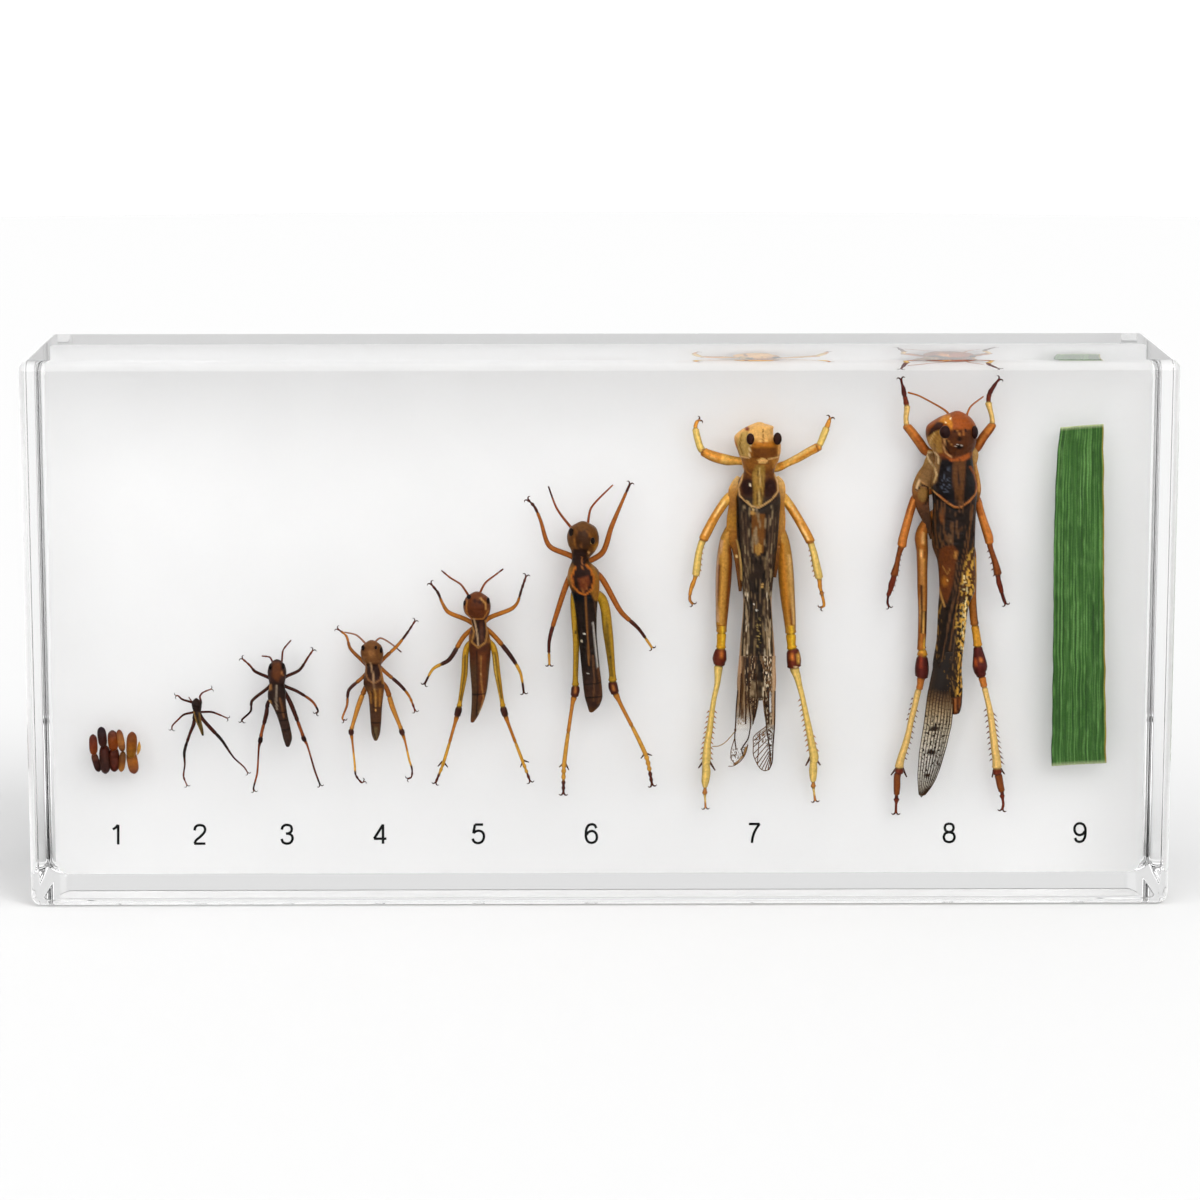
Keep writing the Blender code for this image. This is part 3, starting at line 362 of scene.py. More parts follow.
ADULT_PALE = {
    "node": "adult_pale",
    "palette": {"h": "dba65c", "c": "a8681e", "n": "85501a", "p": "5c3310", "w": "33241a", "m": "45331f",
        "f": "dca44a", "o": "d08a34", "j": "b0702c", "y": "d0981a", "g": "ac7a30", "k": "5e2414",
        "s": "dcb964", "t": "e2b860", "u": "5a3a2c", "b": "b47438", "e": "2c120c"},
    "body_codes": "hhhhcnnnnpppwwwwwmm",
    "eyes": [(749.4, 437.4, 4.1, 5.8, -3), (776.7, 437.6, 4.3, 6.2, -2.2)],
    "limb_codes": [
        "ffoosssoob", "fofffosssoob", "ffoosssooobb", "ffoossssooobooob", "ggggggggyykkksssssssssssbbsb",
        "ggggggggyykkkssssssssssssbbsb",
    ],
    "marks": [
        ("spot", "b06a1c", 0, (762, 447, 13, 8, 0.7)),
        ("area", "6e3d12", 0, (3, [(750, 446), (776, 446), (778, 455), (768, 458), (752, 457)])),
        ("area", "b8924c", 0, (1.5, [(736, 441), (741, 432), (747, 430), (749, 443), (748, 455.5),
            (739, 455)])),
        ("line", "7e5a22", -0.05, (0.7, [(741, 434), (739, 444), (742, 453)])),
        ("line", "e4c48c", 0.08, (0.6, [(749.2, 443), (748.6, 455.8)])),
        ("line", "7a4a1c", -0.08, (0.5, [(762.2, 428), (762.2, 446)])),
        ("spot", "e8b868", 0, (759.4, 439.5, 1.8, 1.2, 0.8)),
        ("spot", "e8b868", 0, (765.2, 439.5, 1.8, 1.2, 0.8)),
        ("spot", "7a2e14", 0.1, (746.6, 428.3, 2.2, 1.8, 0.6)),
        ("area", "c89048", 0, (1.2, [(777, 445), (781, 440), (781, 454), (777, 455.5)])),
        ("line", "d4a668", 0.12, (0.8, [(739, 455.8), (748, 457)])),
        ("line", "d4a668", 0.12, (0.8, [(768, 458), (779.6, 456.4)])),
        ("area", "a86e26", 0, (2.5, [(771, 459), (778.5, 458), (776, 468), (773, 468)])),
        ("area", "e0ac62", 0.15, (0.8, [(756.4, 459), (761.6, 456.2), (767.4, 459.4), (765, 462.6),
            (758.2, 462.3)])),
        ("spot", "260e08", -0.05, (747.2, 486.4, 6.6, 9, 0.4)),
        ("spot", "2a120a", -0.05, (769.2, 487.6, 6.6, 10, 0.4)),
        ("area", "96702e", 0.05, (2, [(755, 464), (764, 464), (764.2, 474), (762.6, 490), (761, 504),
            (757, 506), (752.6, 504), (753, 490), (751.6, 474)])),
        ("line", "bb9a58", 0.1, (0.6, [(759.2, 467), (758.9, 485), (758.2, 504)])),
        ("line", "5c4018", -0.04, (0.5, [(757.4, 470), (757, 490), (756.4, 503)])),
        ("line", "5c4018", -0.04, (0.5, [(760.8, 470), (760.3, 490), (759.4, 503)])),
        ("line", "8a521c", 0.05, (0.8, [(744.5, 465), (746, 471), (750, 474)])),
        ("spot", "ffe8c0", 0, (749.6, 484, 0.7, 1.4, 0.6)),
        ("line", "c89a60", 0.14, (0.8, [(739.6, 457), (743, 469), (741, 479), (737.8, 487), (739, 495),
            (744, 500.5), (750, 504.6), (757.2, 507), (764, 503), (771.3, 498.6), (777.6, 491),
            (777.2, 483), (774.4, 474.7), (776.4, 465), (779.4, 457)])),
        ("line", "1a0e08", -0.15, (0.8, [(740, 498), (748, 505.6), (757, 509), (766, 505.4), (775, 497)])),
        ("area", "6e4216", 0, (1.5, [(750, 512), (765, 513), (764, 540), (763, 552), (752, 552),
            (750.4, 530)])),
        ("spot", "ae7e3e", 0.1, (751.8, 511.8, 2.4, 2.2, 0.5)),
        ("line", "c8a468", 0.08, (0.6, [(746.4, 499.6), (750, 504), (753, 509.6)])),
        ("line", "a89888", 0.05, (0.5, [(756.6, 508), (757, 514)])),
        ("line", "120a06", -0.12, (0.9, [(765.8, 513), (765.4, 535), (763.8, 556)])),
        ("line", "120a06", -0.12, (0.8, [(749.6, 514), (750.6, 535), (752, 556)])),
        ("line", "5f4936", 0.05, (0.6, [(741, 512), (743, 530), (744.4, 556), (747, 590)])),
        ("line", "584230", 0.05, (0.6, [(744.6, 510), (746.4, 530), (748, 560), (750, 600)])),
        ("line", "5f4936", 0.05, (0.6, [(768, 514), (768.4, 535), (767.4, 570), (766, 600)])),
        ("line", "584230", 0.05, (0.6, [(772, 514), (772, 535), (770.4, 560)])),
        ("line", "140c08", -0.1, (0.8, [(737.4, 497), (737.8, 520), (739.6, 545), (743, 575)])),
        ("area", "aa7c38", 0.05, (1, [(754, 545), (757.6, 541.5), (761.6, 545), (760.8, 551),
            (757.6, 555.5), (754.4, 551)])),
        ("line", "5e3c1a", -0.05, (0.5, [(757.6, 543), (757.6, 554)])),
        ("grain", "8c7656", 0, (0.12, 0.95, 0.055, [(742, 505), (775, 505), (771, 600), (744, 600)])),
        ("grain", "d8c4a4", 0.06, (0.22, 0.8, 0.06, [(743, 592), (771, 592), (774, 660), (774, 700),
            (740, 700), (740, 640)])),
        ("grain", "9a8262", 0.04, (0.02, 0.9, 0.05, [(742, 600), (772, 600), (775, 700), (739, 700)])),
        ("area", "2a1d14", 0, (2.5, [(748, 560), (766, 560), (764, 640), (763, 680), (750, 680),
            (748, 620)])),
        ("grain", "6e583c", 0.03, (0.14, 0.9, 0.05, [(748, 556), (766, 556), (764, 690), (750, 690)])),
        ("grain", "100a06", 0, (0.12, 1.1, 0.06, [(748, 556), (766, 556), (764, 690), (750, 690)])),
        ("line", "b08c68", 0, (1.6, [(742.6, 600), (740, 630), (738.6, 662), (738, 700)])),
        ("line", "ba9068", 0, (1.2, [(771.4, 598), (773.4, 625), (774.4, 660), (774.6, 700)])),
        ("line", "120c08", -0.05, (0.6, [(744.8, 600), (742.6, 630), (741.6, 665), (741.4, 700)])),
        ("line", "120c08", -0.05, (0.6, [(769.4, 600), (771.2, 630), (772, 665), (772, 700)])),
        ("spot", "c89a50", 0.05, (761.4, 586.2, 1.2, 1.4, 0.6)),
        ("spot", "d8a860", 0.05, (761.9, 583.6, 1, 1, 0.6)),
        ("grain", "b89a54", 0.03, (0.1, 1.1, 0.75, [(756.6, 618), (760, 618), (759, 646), (756, 646)])),
        ("spot", "f0e8d8", 0, (756, 609.5, 0.9, 0.9, 0.5)),
        ("spot", "e0d4c0", 0, (753.6, 603.5, 0.8, 0.8, 0.5)),
        ("line", "c8a05c", 0.1, (0.9, [(736.4, 541), (739, 553), (740.6, 566), (741, 580)])),
        ("spot", "f0c880", 0.1, (736.3, 557, 1.3, 1.6, 0.6)),
    ],
    "limb_marks": [
        ("area", "7c3f10", 0, (1.4, [(728.4, 545), (733.4, 550), (731.4, 580), (729, 602), (726.6, 625.6),
            (724.4, 625.6), (726.2, 600), (727.6, 575)])),
        ("line", "dcae88", 0.06, (0.9, [(721, 541), (716.8, 567), (716.4, 594), (717, 622)])),
        ("line", "6e3c18", -0.05, (0.5, [(722.6, 545), (718.8, 570), (718.4, 595), (719, 624)])),
        ("line", "94621f", 0, (0.6, [(723.6, 560), (722.4, 590), (721.8, 624)])),
        ("area", "aa6a1c", 0, (1.5, [(779, 541), (784, 545), (786.6, 570), (787, 600), (788, 626),
            (785, 626), (780.4, 595), (778.4, 565)])),
        ("line", "6a340e", 0, (0.8, [(787.4, 556), (789.6, 580), (790.6, 605), (791.4, 625)])),
        ("line", "d8aa66", 0.05, (0.9, [(789.6, 556), (792.4, 585), (793.6, 624)])),
        ("line", "8a4a14", -0.04, (0.5, [(717.4, 626), (725.6, 626)])),
        ("line", "a87412", -0.05, (0.5, [(719.8, 627), (720.2, 646)])),
        ("line", "a87412", -0.05, (0.5, [(788.6, 627), (790, 647)])),
        ("line", "e4b830", 0, (0.7, [(722.6, 627), (722.4, 646)])),
        ("line", "e4b830", 0, (0.7, [(791, 627), (792.4, 647)])),
        # The next two spots are painted highlights: an orange glint on each hind knee
        ("spot", "c06c26", 0.05, (720.8, 654.6, 1.5, 4, 0.8)),
        ("spot", "c06c26", 0.05, (790.9, 657.6, 1.6, 4, 0.8)),
        ("spot", "e0a848", 0.1, (798.4, 658.5, 1.7, 5.4, 0.6)),
        ("spot", "ecc894", 0, (795.4, 667.6, 1.6, 1, 0.6)),
        ("line", "e8be74", 0.05, (0.6, [(705, 456), (718, 461), (727, 463)])),
        ("line", "b87c28", -0.04, (0.6, [(706, 459), (717, 464.6), (728, 466)])),
        ("line", "e8be74", 0.05, (0.7, [(789, 461), (803, 453.6), (815, 446.6)])),
        ("line", "b06a20", -0.04, (0.6, [(790, 465), (804, 457), (816, 450)])),
        ("line", "b87428", -0.04, (0.6, [(727, 503), (714, 520), (705, 538)])),
        ("line", "edc47c", 0.05, (0.6, [(724, 502), (712, 519), (704, 535)])),
        ("line", "edc47c", 0.05, (0.8, [(788, 503), (798, 519), (808, 540)])),
        ("line", "b86e22", -0.04, (0.6, [(785, 504), (795, 521), (806, 543)])),
        ("line", "8e5424", 0, (0.9, [(702, 456), (702.6, 450)])),
        ("line", "8e5424", 0, (0.9, [(818, 452), (816.4, 446)])),
        ("line", "8e5424", 0, (0.9, [(700, 540), (706, 541)])),
        ("line", "8e5424", 0, (0.9, [(806.6, 543.4), (812.4, 542)])),
    ],
    "body": [
        (759, 424, 6), (760.1, 426.4, 12.6), (757, 430, 16), (754, 436, 19.6), (757.2, 443, 22.8),
        (759, 452, 21.5), (759.2, 456, 20.3), (759.8, 460, 18.8), (759, 466, 17), (758.7, 472, 15.4),
        (757.7, 480, 19.3), (758.2, 490, 20.6), (758.5, 498, 21.8), (757.5, 520, 21.4), (757, 544, 20),
        (757, 575, 16.5), (757, 604, 14.2), (756.7, 652, 17.6), (756, 696, 18.4),
    ],
    "limbs": [
        [(737, 462, 4.2), (727, 461, 5.4), (714, 457.5, 5.4), (705, 453.5, 4.6), (700.5, 449, 3.6),
            (697.5, 440, 3.5), (695.6, 431.5, 3.2), (695.5, 427, 2), (697, 423.5, 1.8), (700, 421.5, 1.3)],
        [(777, 469, 4.2), (781, 467.3, 4.2), (786.3, 464.7, 3.7), (798, 459, 4.2), (809, 452.6, 4.4),
            (817.6, 448, 4.4), (820.4, 444, 3.4), (823, 438, 3.6), (826, 431, 3.4), (828, 426.6, 2.6),
            (829.4, 423, 2), (831, 419.5, 1.4)],
        [(736, 496, 3.4), (729, 498, 4.6), (716, 516, 4.6), (704.5, 537.5, 4.8), (701, 545, 3.4),
            (698.5, 554, 3.5), (695.9, 574, 3.8), (694.6, 580, 2), (692.5, 586, 2.4), (690.4, 593, 1.8),
            (689.8, 602, 1.5), (693, 606.5, 1.2)],
        [(779, 497, 3.4), (784, 499, 4.6), (797.5, 519, 4.6), (809.6, 541, 4.6), (811.6, 547, 3.4),
            (813.8, 554, 3.5), (816.7, 568, 4), (818.8, 577.5, 3.9), (819.6, 583, 2.2), (820, 588, 2.2),
            (820.8, 591, 1.5), (821.9, 595, 2.4), (822.6, 598, 1.6), (823.8, 603, 1.5), (824.2, 608, 1.4),
            (821, 610.4, 1.1)],
        [(742, 512, 4), (733, 526, 5), (725.8, 540, 5.6), (724.4, 561, 7.9), (723.3, 582, 7.9),
            (722.3, 603, 6.9), (721.4, 622, 5.8), (721.3, 630, 5.2), (721.2, 638, 4.7), (720.8, 647, 4.5),
            (720.4, 652, 5.8), (719.3, 660, 7.1), (719, 665, 5.4), (718.3, 669, 4.4), (717, 685, 2.9),
            (713.8, 700, 2.6), (711.5, 715, 2.8), (709.6, 730, 3.2), (707.3, 745, 3.6), (706.3, 760, 4.4),
            (705.9, 766, 3.9), (706.2, 774, 4.3), (705.2, 784, 3.8), (705, 788.6, 2.4), (705, 791.4, 1.7),
            (704.8, 795, 2.5), (705, 800, 1.1), (705.6, 811, 1.2)],
        [(768, 512, 4), (777, 526, 5), (783, 540, 5.6), (785, 561, 7.6), (786.3, 582, 7.9), (788, 603, 7.1),
            (789.8, 622, 6), (790.4, 631, 5.4), (790.9, 639, 5), (791.5, 647, 4.5), (792.8, 653, 6.4),
            (793.8, 661, 7.3), (794, 667, 6.6), (794.8, 671.5, 4.7), (797, 677.5, 3.8), (798.9, 685, 3.1),
            (802.7, 700, 2.7), (805.7, 715, 3), (808.8, 730, 3.4), (811.5, 745, 3.8), (814.2, 759, 4.6),
            (813.6, 764.6, 3.7), (813.3, 772, 4.2), (813.3, 780, 3.5), (813.4, 783.4, 2.6),
            (813.6, 785.8, 1.8), (813.6, 788.8, 2.5), (814.1, 793, 1.2), (815.6, 804, 1.3)],
    ],
    "spurs": [
        [(706, 760, 1.6), (698.5, 770.5, 0.7)], [(707, 760, 1.6), (715.2, 773, 0.7)],
        [(812, 757, 1.6), (806, 768.5, 0.7)], [(813, 757, 1.6), (820.8, 768, 0.7)],
    ],
    "plates": [
        [(738, 477, 1.6, 0.6, "d8b070"), (736, 484, 4.6, 0.6, "cfa05c"), (734, 492, 6, 0.6, "b8803c"),
            (734, 505, 5.6, 0.7, "9a6428"), (733, 520, 6.5, 0.8, "b07828"), (733.6, 535, 7, 0.8, "9c6420"),
            (737, 550, 5, 0.7, "7c4a18"), (739, 570, 3.4, 0.6, "6c3e14"), (740, 592, 1.6, 0.5, "5a3412")],
        [(777, 477, 1.6, 0.6, "d8b070"), (779.6, 484, 4.6, 0.6, "cfa05c"), (780.6, 493, 4.8, 0.6, "c08c48"),
            (780, 505, 4.4, 0.7, "a87030"), (781, 520, 4.4, 0.8, "b88038"), (779.6, 535, 5, 0.8, "a06828"),
            (776.6, 555, 3.6, 0.7, "7c4a18"), (774, 578, 2, 0.5, "5a3412")],
    ],
}

ADULT_DARK = {
    "node": "adult_dark",
    "palette": {"h": "8a4514", "c": "5c3014", "n": "7a3e18", "p": "1c1210", "w": "1f1510", "m": "4a2a12",
        "a": "2a1c12", "f": "9c5420", "o": "b86c2c", "k": "4e1a14", "y": "c98c2a", "g": "94561e",
        "s": "deb66a", "t": "a45c2c", "b": "6a2a18", "u": "4a2a20", "r": "a6602a", "e": "26100e"},
    "body_codes": "hhhccnpppwwwmmaaaaaaa",
    "eyes": [(943.8, 430.8, 5.9, 6.6, -3), (973.6, 431.6, 3.6, 6.6, -2)],
    "limb_codes": [
        "rrrrrr", "rrrr", "fffoossssbbkkkk", "fffoossssbbkkkkk", "fffooonnnnbbbbkkk", "fffooonnnnbbbbkkk",
        "ggggggggggykkkkoosssssssssbnnnkbbbb", "fggggyykkkkkosssssssssbnnnkbbbb",
    ],
    "marks": [
        ("area", "a27434", 0, (2, [(926, 437), (933, 427), (940, 429), (940, 442), (942, 452), (930, 452.6),
            (925, 446)])),
        ("line", "c89e5c", 0.05, (0.6, [(934, 430), (929.6, 440), (929, 449)])),
        ("line", "7c5222", -0.05, (0.6, [(937, 431), (933.6, 441), (934, 450)])),
        ("area", "33170f", 0.05, (1.2, [(926.6, 437), (929.6, 428), (936, 421.4), (942.4, 421.4),
            (941.4, 427), (934, 430.4)])),
        ("area", "c47c24", 0.1, (1.4, [(938, 420.6), (943, 415.6), (949.4, 415), (950.6, 422), (951, 431),
            (947.6, 424.6), (943, 421.6)])),
        ("spot", "ffeeb4", 0.05, (944.3, 421.4, 0.9, 0.9, 0.5)),
        ("spot", "fff0c8", 0.05, (949.4, 417.8, 0.8, 0.9, 0.5)),
        ("area", "944714", 0.05, (1.6, [(951, 416), (957, 411), (964, 413), (970.6, 424), (969.4, 428),
            (951.6, 427.6)])),
        ("area", "512a12", 0, (2, [(951, 428.4), (969.5, 428.4), (975, 438), (974, 450), (966, 456),
            (952, 456), (946, 447), (944, 439)])),
        ("spot", "1c0e0a", -0.1, (953.5, 429.7, 2, 1.3, 0.6)),
        ("spot", "1c0e0a", -0.1, (963.7, 428.9, 1.6, 1.6, 0.6)),
        ("line", "a86c34", 0.06, (0.7, [(956, 429), (959, 435)])),
        ("line", "9a5a26", 0.06, (0.7, [(961, 428), (962.6, 434)])),
        ("spot", "190d0a", -0.12, (958, 437.4, 2.2, 2.4, 0.6)),
        ("spot", "120806", -0.15, (958.2, 445.6, 3.6, 2.6, 0.6)),
        ("line", "d0c0b0", 0, (0.4, [(954.4, 445), (956, 443)])),
        ("line", "d0c0b0", 0, (0.4, [(961.4, 445.6), (960, 444)])),
        ("line", "be8a56", 0.12, (0.9, [(942.6, 437.5), (942.8, 446), (944.6, 452), (950, 456)])),
        ("line", "140a08", -0.1, (0.9, [(944.8, 438), (945, 447), (949, 453)])),
        ("line", "96602e", 0.06, (0.6, [(945, 437), (951.5, 445)])),
        ("area", "9c4e1c", 0.05, (1.6, [(944, 455), (952, 458), (960, 455.6), (968.6, 452), (969.4, 457),
            (962, 461), (950, 461)])),
        ("area", "846038", 0, (2, [(926, 453), (936, 451.6), (940, 459), (938, 470), (936, 481), (930, 487),
            (922, 484), (916, 491), (915, 482), (922, 475), (928, 467)])),
        ("line", "d0b080", 0.12, (0.8, [(926.6, 455), (929, 461), (933.6, 467), (936, 474)])),
        ("line", "d0b080", 0.12, (0.8, [(928, 453.4), (934.6, 452.6), (937.6, 456), (937.6, 463)])),
        ("line", "c4a270", 0.1, (0.7, [(930, 463), (934.4, 468), (935.6, 475), (933, 482)])),
        ("line", "dcb888", 0.12, (0.8, [(916.6, 491), (918, 484), (921, 480)])),
        ("line", "b8864c", 0.1, (0.7, [(921.4, 482.4), (926, 486), (933, 491), (940, 497), (948.6, 503.6),
            (953, 506)])),
        ("spot", "86602e", 0.12, (922.7, 495.4, 4.6, 7.4, 0.25)),
        ("line", "160c08", -0.12, (0.8, [(916.4, 491), (922, 486), (928, 487.6), (928.6, 499),
            (925, 506)])),
        ("area", "140e10", 0.05, (1.4, [(941, 460), (950.4, 460.6), (951, 480), (955, 504), (946, 500),
            (936.6, 493), (937, 481), (938.4, 470)])),
        # Painted sheen: a bluish grain of painted reflection on the dark left side of the pronotum
        ("grain", "4a505c", 0.02, (0.1, 0.5, 0.45, [(941, 476), (948, 466), (949, 486), (946, 495),
            (939, 490)])),
        ("area", "140e0c", 0.05, (1.4, [(965.4, 460), (968, 460), (969, 466), (974, 473), (977, 483),
            (976.4, 492), (961.4, 504), (963, 482)])),
        ("area", "5a3618", 0.08, (1.8, [(951.4, 460), (965, 460), (963.4, 480), (961.4, 503),
            (955.4, 503.6), (951.4, 480)])),
        ("line", "22120a", -0.06, (0.6, [(957.8, 458), (957.4, 480), (956.8, 503)])),
        ("line", "7a3c18", 0.05, (1.2, [(969.6, 466.6), (974, 474), (976.4, 484), (975.6, 491)])),
        ("line", "b46c34", 0.15, (0.9, [(937, 494), (945, 500.6), (952.7, 505.7), (959.4, 506.4),
            (968, 500.8), (974.6, 494.2), (977.6, 488)])),
        ("line", "090604", -0.15, (1, [(938, 497.6), (945, 503.4), (952.7, 508.4), (959.6, 509),
            (970, 502)])),
        ("line", "bc8648", 0.1, (0.9, [(975.6, 466), (978.8, 479), (979.4, 492)])),
        ("line", "4e3018", 0.05, (0.9, [(929.4, 500), (930.6, 530), (935, 552)])),
        ("line", "573619", 0.05, (0.8, [(934, 504), (934.6, 530), (937, 548)])),
        ("spot", "70401c", 0.05, (940.8, 514.6, 2.2, 8, 0.6)),
        ("line", "5e3a1e", 0.05, (0.7, [(942.6, 522), (944, 535), (942.4, 544)])),
        ("spot", "705030", 0.05, (948.4, 538, 3, 4.4, 0.7)),
        ("grain", "5c3d24", 0.03, (0.12, 0.8, 0.06, [(928, 500), (977, 500), (974, 552), (958, 600),
            (934, 560)])),
        ("area", "5f300f", 0, (2, [(938.6, 549), (944, 545), (952, 544), (957, 550), (953.6, 566),
            (951, 590), (946, 603), (940, 592), (938.4, 566)])),
        ("spot", "98581a", 0, (944, 581, 3.2, 5, 0.8)), ("spot", "a87030", 0, (954.6, 554, 1.6, 4, 0.7)),
        ("spot", "d8a860", 0.05, (946.6, 579.8, 1, 1.2, 0.6)),
        ("line", "94602c", 0.05, (0.6, [(942, 566), (946.6, 574), (949, 568)])),
        ("line", "b07e40", 0.2, (0.9, [(938.6, 588), (941, 597), (943.8, 606)])),
        ("area", "1a120d", 0, (2, [(958, 548), (966, 520), (974, 520), (966, 560), (957, 610), (948, 660),
            (938, 690), (936, 660), (946, 606), (953, 580)])),
        ("line", "66401f", 0.08, (0.7, [(972, 505), (967, 545), (958.6, 590), (948.6, 650)])),
        ("line", "5a3a20", 0.08, (0.6, [(966.6, 530), (958, 575), (948, 625), (941, 660)])),
        ("line", "5a3c24", 0.06, (0.6, [(957, 560), (952.4, 595), (946, 630)])),
        ("line", "4c3a2c", 0.06, (0.6, [(962, 590), (956, 630), (948.6, 672)])),
        ("grain", "c8963a", 0.03, (0.02, 0.42, 0.3, [(961, 575), (966, 556), (973, 548), (974, 600),
            (969, 606), (966, 650), (957, 652), (954, 625)])),
        ("grain", "f0d898", 0.05, (0.08, 0.7, 0.32, [(962, 574), (966, 574), (967, 600), (966.6, 640),
            (964, 690), (960, 690), (961, 640), (963, 600)])),
        ("grain", "86622c", 0.02, (0.1, 0.7, 0.2, [(934, 600), (942, 600), (938, 650), (934, 690),
            (928, 690), (930, 650)])),
        ("area", "241912", 0, (2.5, [(936, 665), (962, 660), (960, 698), (930, 700)])),
        ("grain", "6a4c24", 0.02, (0.16, 0.8, 0.12, [(936, 655), (962, 655), (958, 700), (944, 700)])),
        ("grain", "c08c34", 0.02, (0, 0.6, 0.25, [(956, 650), (964, 650), (961, 697), (955, 697)])),
        ("area", "6e3a18", 0, (1.5, [(944, 699), (961, 697), (960, 707), (956, 715), (946, 715)])),
        ("line", "9a5c2c", 0.05, (0.7, [(950, 700), (951, 713)])),
        ("line", "9a5c2c", 0.05, (0.7, [(954.6, 699), (955, 712)])),
        ("line", "2a120a", -0.05, (0.5, [(952.6, 700), (953, 714)])),
        ("line", "2a120a", -0.05, (0.5, [(957.4, 699), (957.4, 710)])),
    ],
    "limb_marks": [
        ("line", "e0a860", 0.05, (0.7, [(924, 534), (920.4, 560), (920.6, 600), (920.8, 634)])),
        ("line", "2e140a", -0.06, (0.8, [(922.4, 556), (922.4, 590), (922.4, 634)])),
        ("line", "c88a40", 0.05, (0.6, [(924, 560), (924.4, 600), (924.2, 634)])),
        ("area", "1e0e08", 0, (0.8, [(919.6, 586), (922, 586), (922.6, 610), (920.6, 611)])),
        ("area", "2a120a", 0, (0.8, [(920.4, 612), (926.4, 612), (926.2, 634.6), (920.6, 634.6)])),
        ("line", "dca24c", 0.03, (0.6, [(923.2, 613), (923.2, 634)])),
        ("line", "a8680e", -0.04, (0.5, [(922, 637), (922.4, 650)])),
        ("line", "ecb84a", 0, (0.6, [(924, 637), (924.2, 650)])),
        ("line", "7c2e18", 0, (1.2, [(920.4, 655), (920, 668)])),
        ("spot", "a24a2a", 0.03, (922.4, 667, 0.9, 2.6, 0.8)),
        ("area", "32150c", 0, (1, [(976, 606), (979.6, 606), (981, 628), (978, 630)])),
        ("line", "e4b04c", 0, (0.9, [(976.4, 560), (978, 590), (981.4, 640)])),
        ("spot", "c0582a", 0.03, (975.8, 663, 1.3, 4, 0.8)),
        ("spot", "d87a34", 0.03, (980.4, 662, 0.8, 3.6, 0.8)),
        ("line", "c47a36", 0.04, (0.7, [(922, 451), (913, 439), (906, 428)])),
        ("line", "6e3414", -0.04, (0.7, [(919, 453), (910.6, 441), (904, 430)])),
        ("line", "6e3414", -0.04, (0.7, [(980, 449), (988, 439), (994, 429)])),
        ("line", "c47a36", 0.04, (0.6, [(977, 446), (985, 436), (991, 427)])),
        ("line", "c07838", 0.04, (0.7, [(913, 501), (906, 522), (900.4, 541)])),
        ("line", "c07838", 0.04, (0.7, [(981.4, 503), (986, 522), (990.6, 538)])),
    ],
    "body": [
        (957, 413, 6), (954.5, 418, 16), (951.5, 426, 24.4), (951.2, 434, 25.7), (952, 444, 24),
        (953, 453, 19.6), (953.5, 460, 19), (953.5, 472, 20.6), (954, 487, 23), (954.5, 502, 21.8),
        (953.6, 524, 21.6), (953.3, 546, 21.4), (956, 562, 18.8), (957, 590, 18), (953, 608, 15.2),
        (950.4, 640, 14.2), (947, 668, 14.6), (950, 685, 12.5), (953, 699, 9), (954.5, 707, 6.8),
        (954.6, 714, 4.4),
    ],
    "limbs": [
        [(948.5, 417, 1.4), (948, 414, 1.2), (942.7, 409.6, 1), (932.3, 403.8, 0.9), (919.2, 397.2, 0.9),
            (908.5, 394.4, 0.9)],
        [(966.8, 418, 1.4), (967.4, 415, 1.1), (971.5, 407.7, 0.9), (984.6, 398.5, 0.7)],
        [(932, 455, 4.2), (925.8, 452, 4.8), (919.2, 443, 4.9), (911.4, 432.5, 4.6), (907.4, 427.6, 4.2),
            (906.3, 423, 2.7), (906.1, 418, 2.6), (906.8, 413, 2.8), (907.2, 408.8, 3), (906.4, 404, 2.8),
            (905.5, 399.4, 2.2), (904.6, 395.5, 2.5), (903.9, 390, 2.1), (902.8, 386.4, 1.3),
            (901.6, 380.4, 1.3)],
        [(970, 453, 4.2), (976.7, 449.5, 4.6), (983.3, 439, 4.6), (989.8, 430.4, 4.4), (992.2, 426.4, 4),
            (992.6, 422, 2.6), (992, 417, 2.4), (990.5, 411, 2.6), (989, 405, 3.2), (988.9, 400.6, 2.4),
            (989.6, 396.6, 2.4), (990.8, 393.6, 2.6), (993.2, 390, 2), (995.4, 387, 2), (997.6, 384.2, 1.3),
            (1001, 380.8, 1.3)],
        [(924, 494, 3.8), (916, 499, 4.4), (912.1, 507.5, 4.2), (906.9, 525.4, 4.3), (903, 540, 4.5),
            (902, 546, 4.5), (900.4, 550.6, 3), (898.6, 557, 2.6), (897.2, 564.3, 2.6), (894.6, 575, 3.7),
            (893.6, 580, 2.8), (892, 585.6, 3.3), (890.4, 592, 2.4), (888.9, 596.6, 2.2), (888.4, 600, 1.2),
            (888.2, 605.5, 1.3), (890, 610, 1)],
        [(974, 496, 3.8), (978, 503, 4.2), (979.6, 509, 4), (984.6, 525.4, 4.3), (988.6, 537.5, 4.7),
            (989.6, 543, 4.2), (990.4, 548, 2.8), (993, 556, 2.8), (995.8, 565, 3.2), (998, 574.5, 3.9),
            (998.6, 579, 2.4), (999.4, 584, 2.7), (1001, 589, 2.6), (1002.2, 593.6, 2.2),
            (1003.4, 597.5, 1.8), (1005, 602.5, 1.8), (1007, 607, 1.3)],
        [(938, 512, 4), (929, 521, 5), (922.5, 533, 6), (921.5, 540, 6.5), (922.4, 552, 5.9),
            (922.5, 575, 5.2), (922.6, 590, 5.1), (922.8, 612, 4.5), (922.3, 634, 4.3), (921.6, 648, 4.2),
            (922.4, 654, 4.7), (922.2, 661, 6), (922, 668, 7), (921.8, 675, 6.8), (921.6, 678, 6),
            (920.9, 681, 4), (920.2, 687, 3.3), (917.5, 695.5, 3.2), (915.5, 704.7, 3), (913.3, 714, 3),
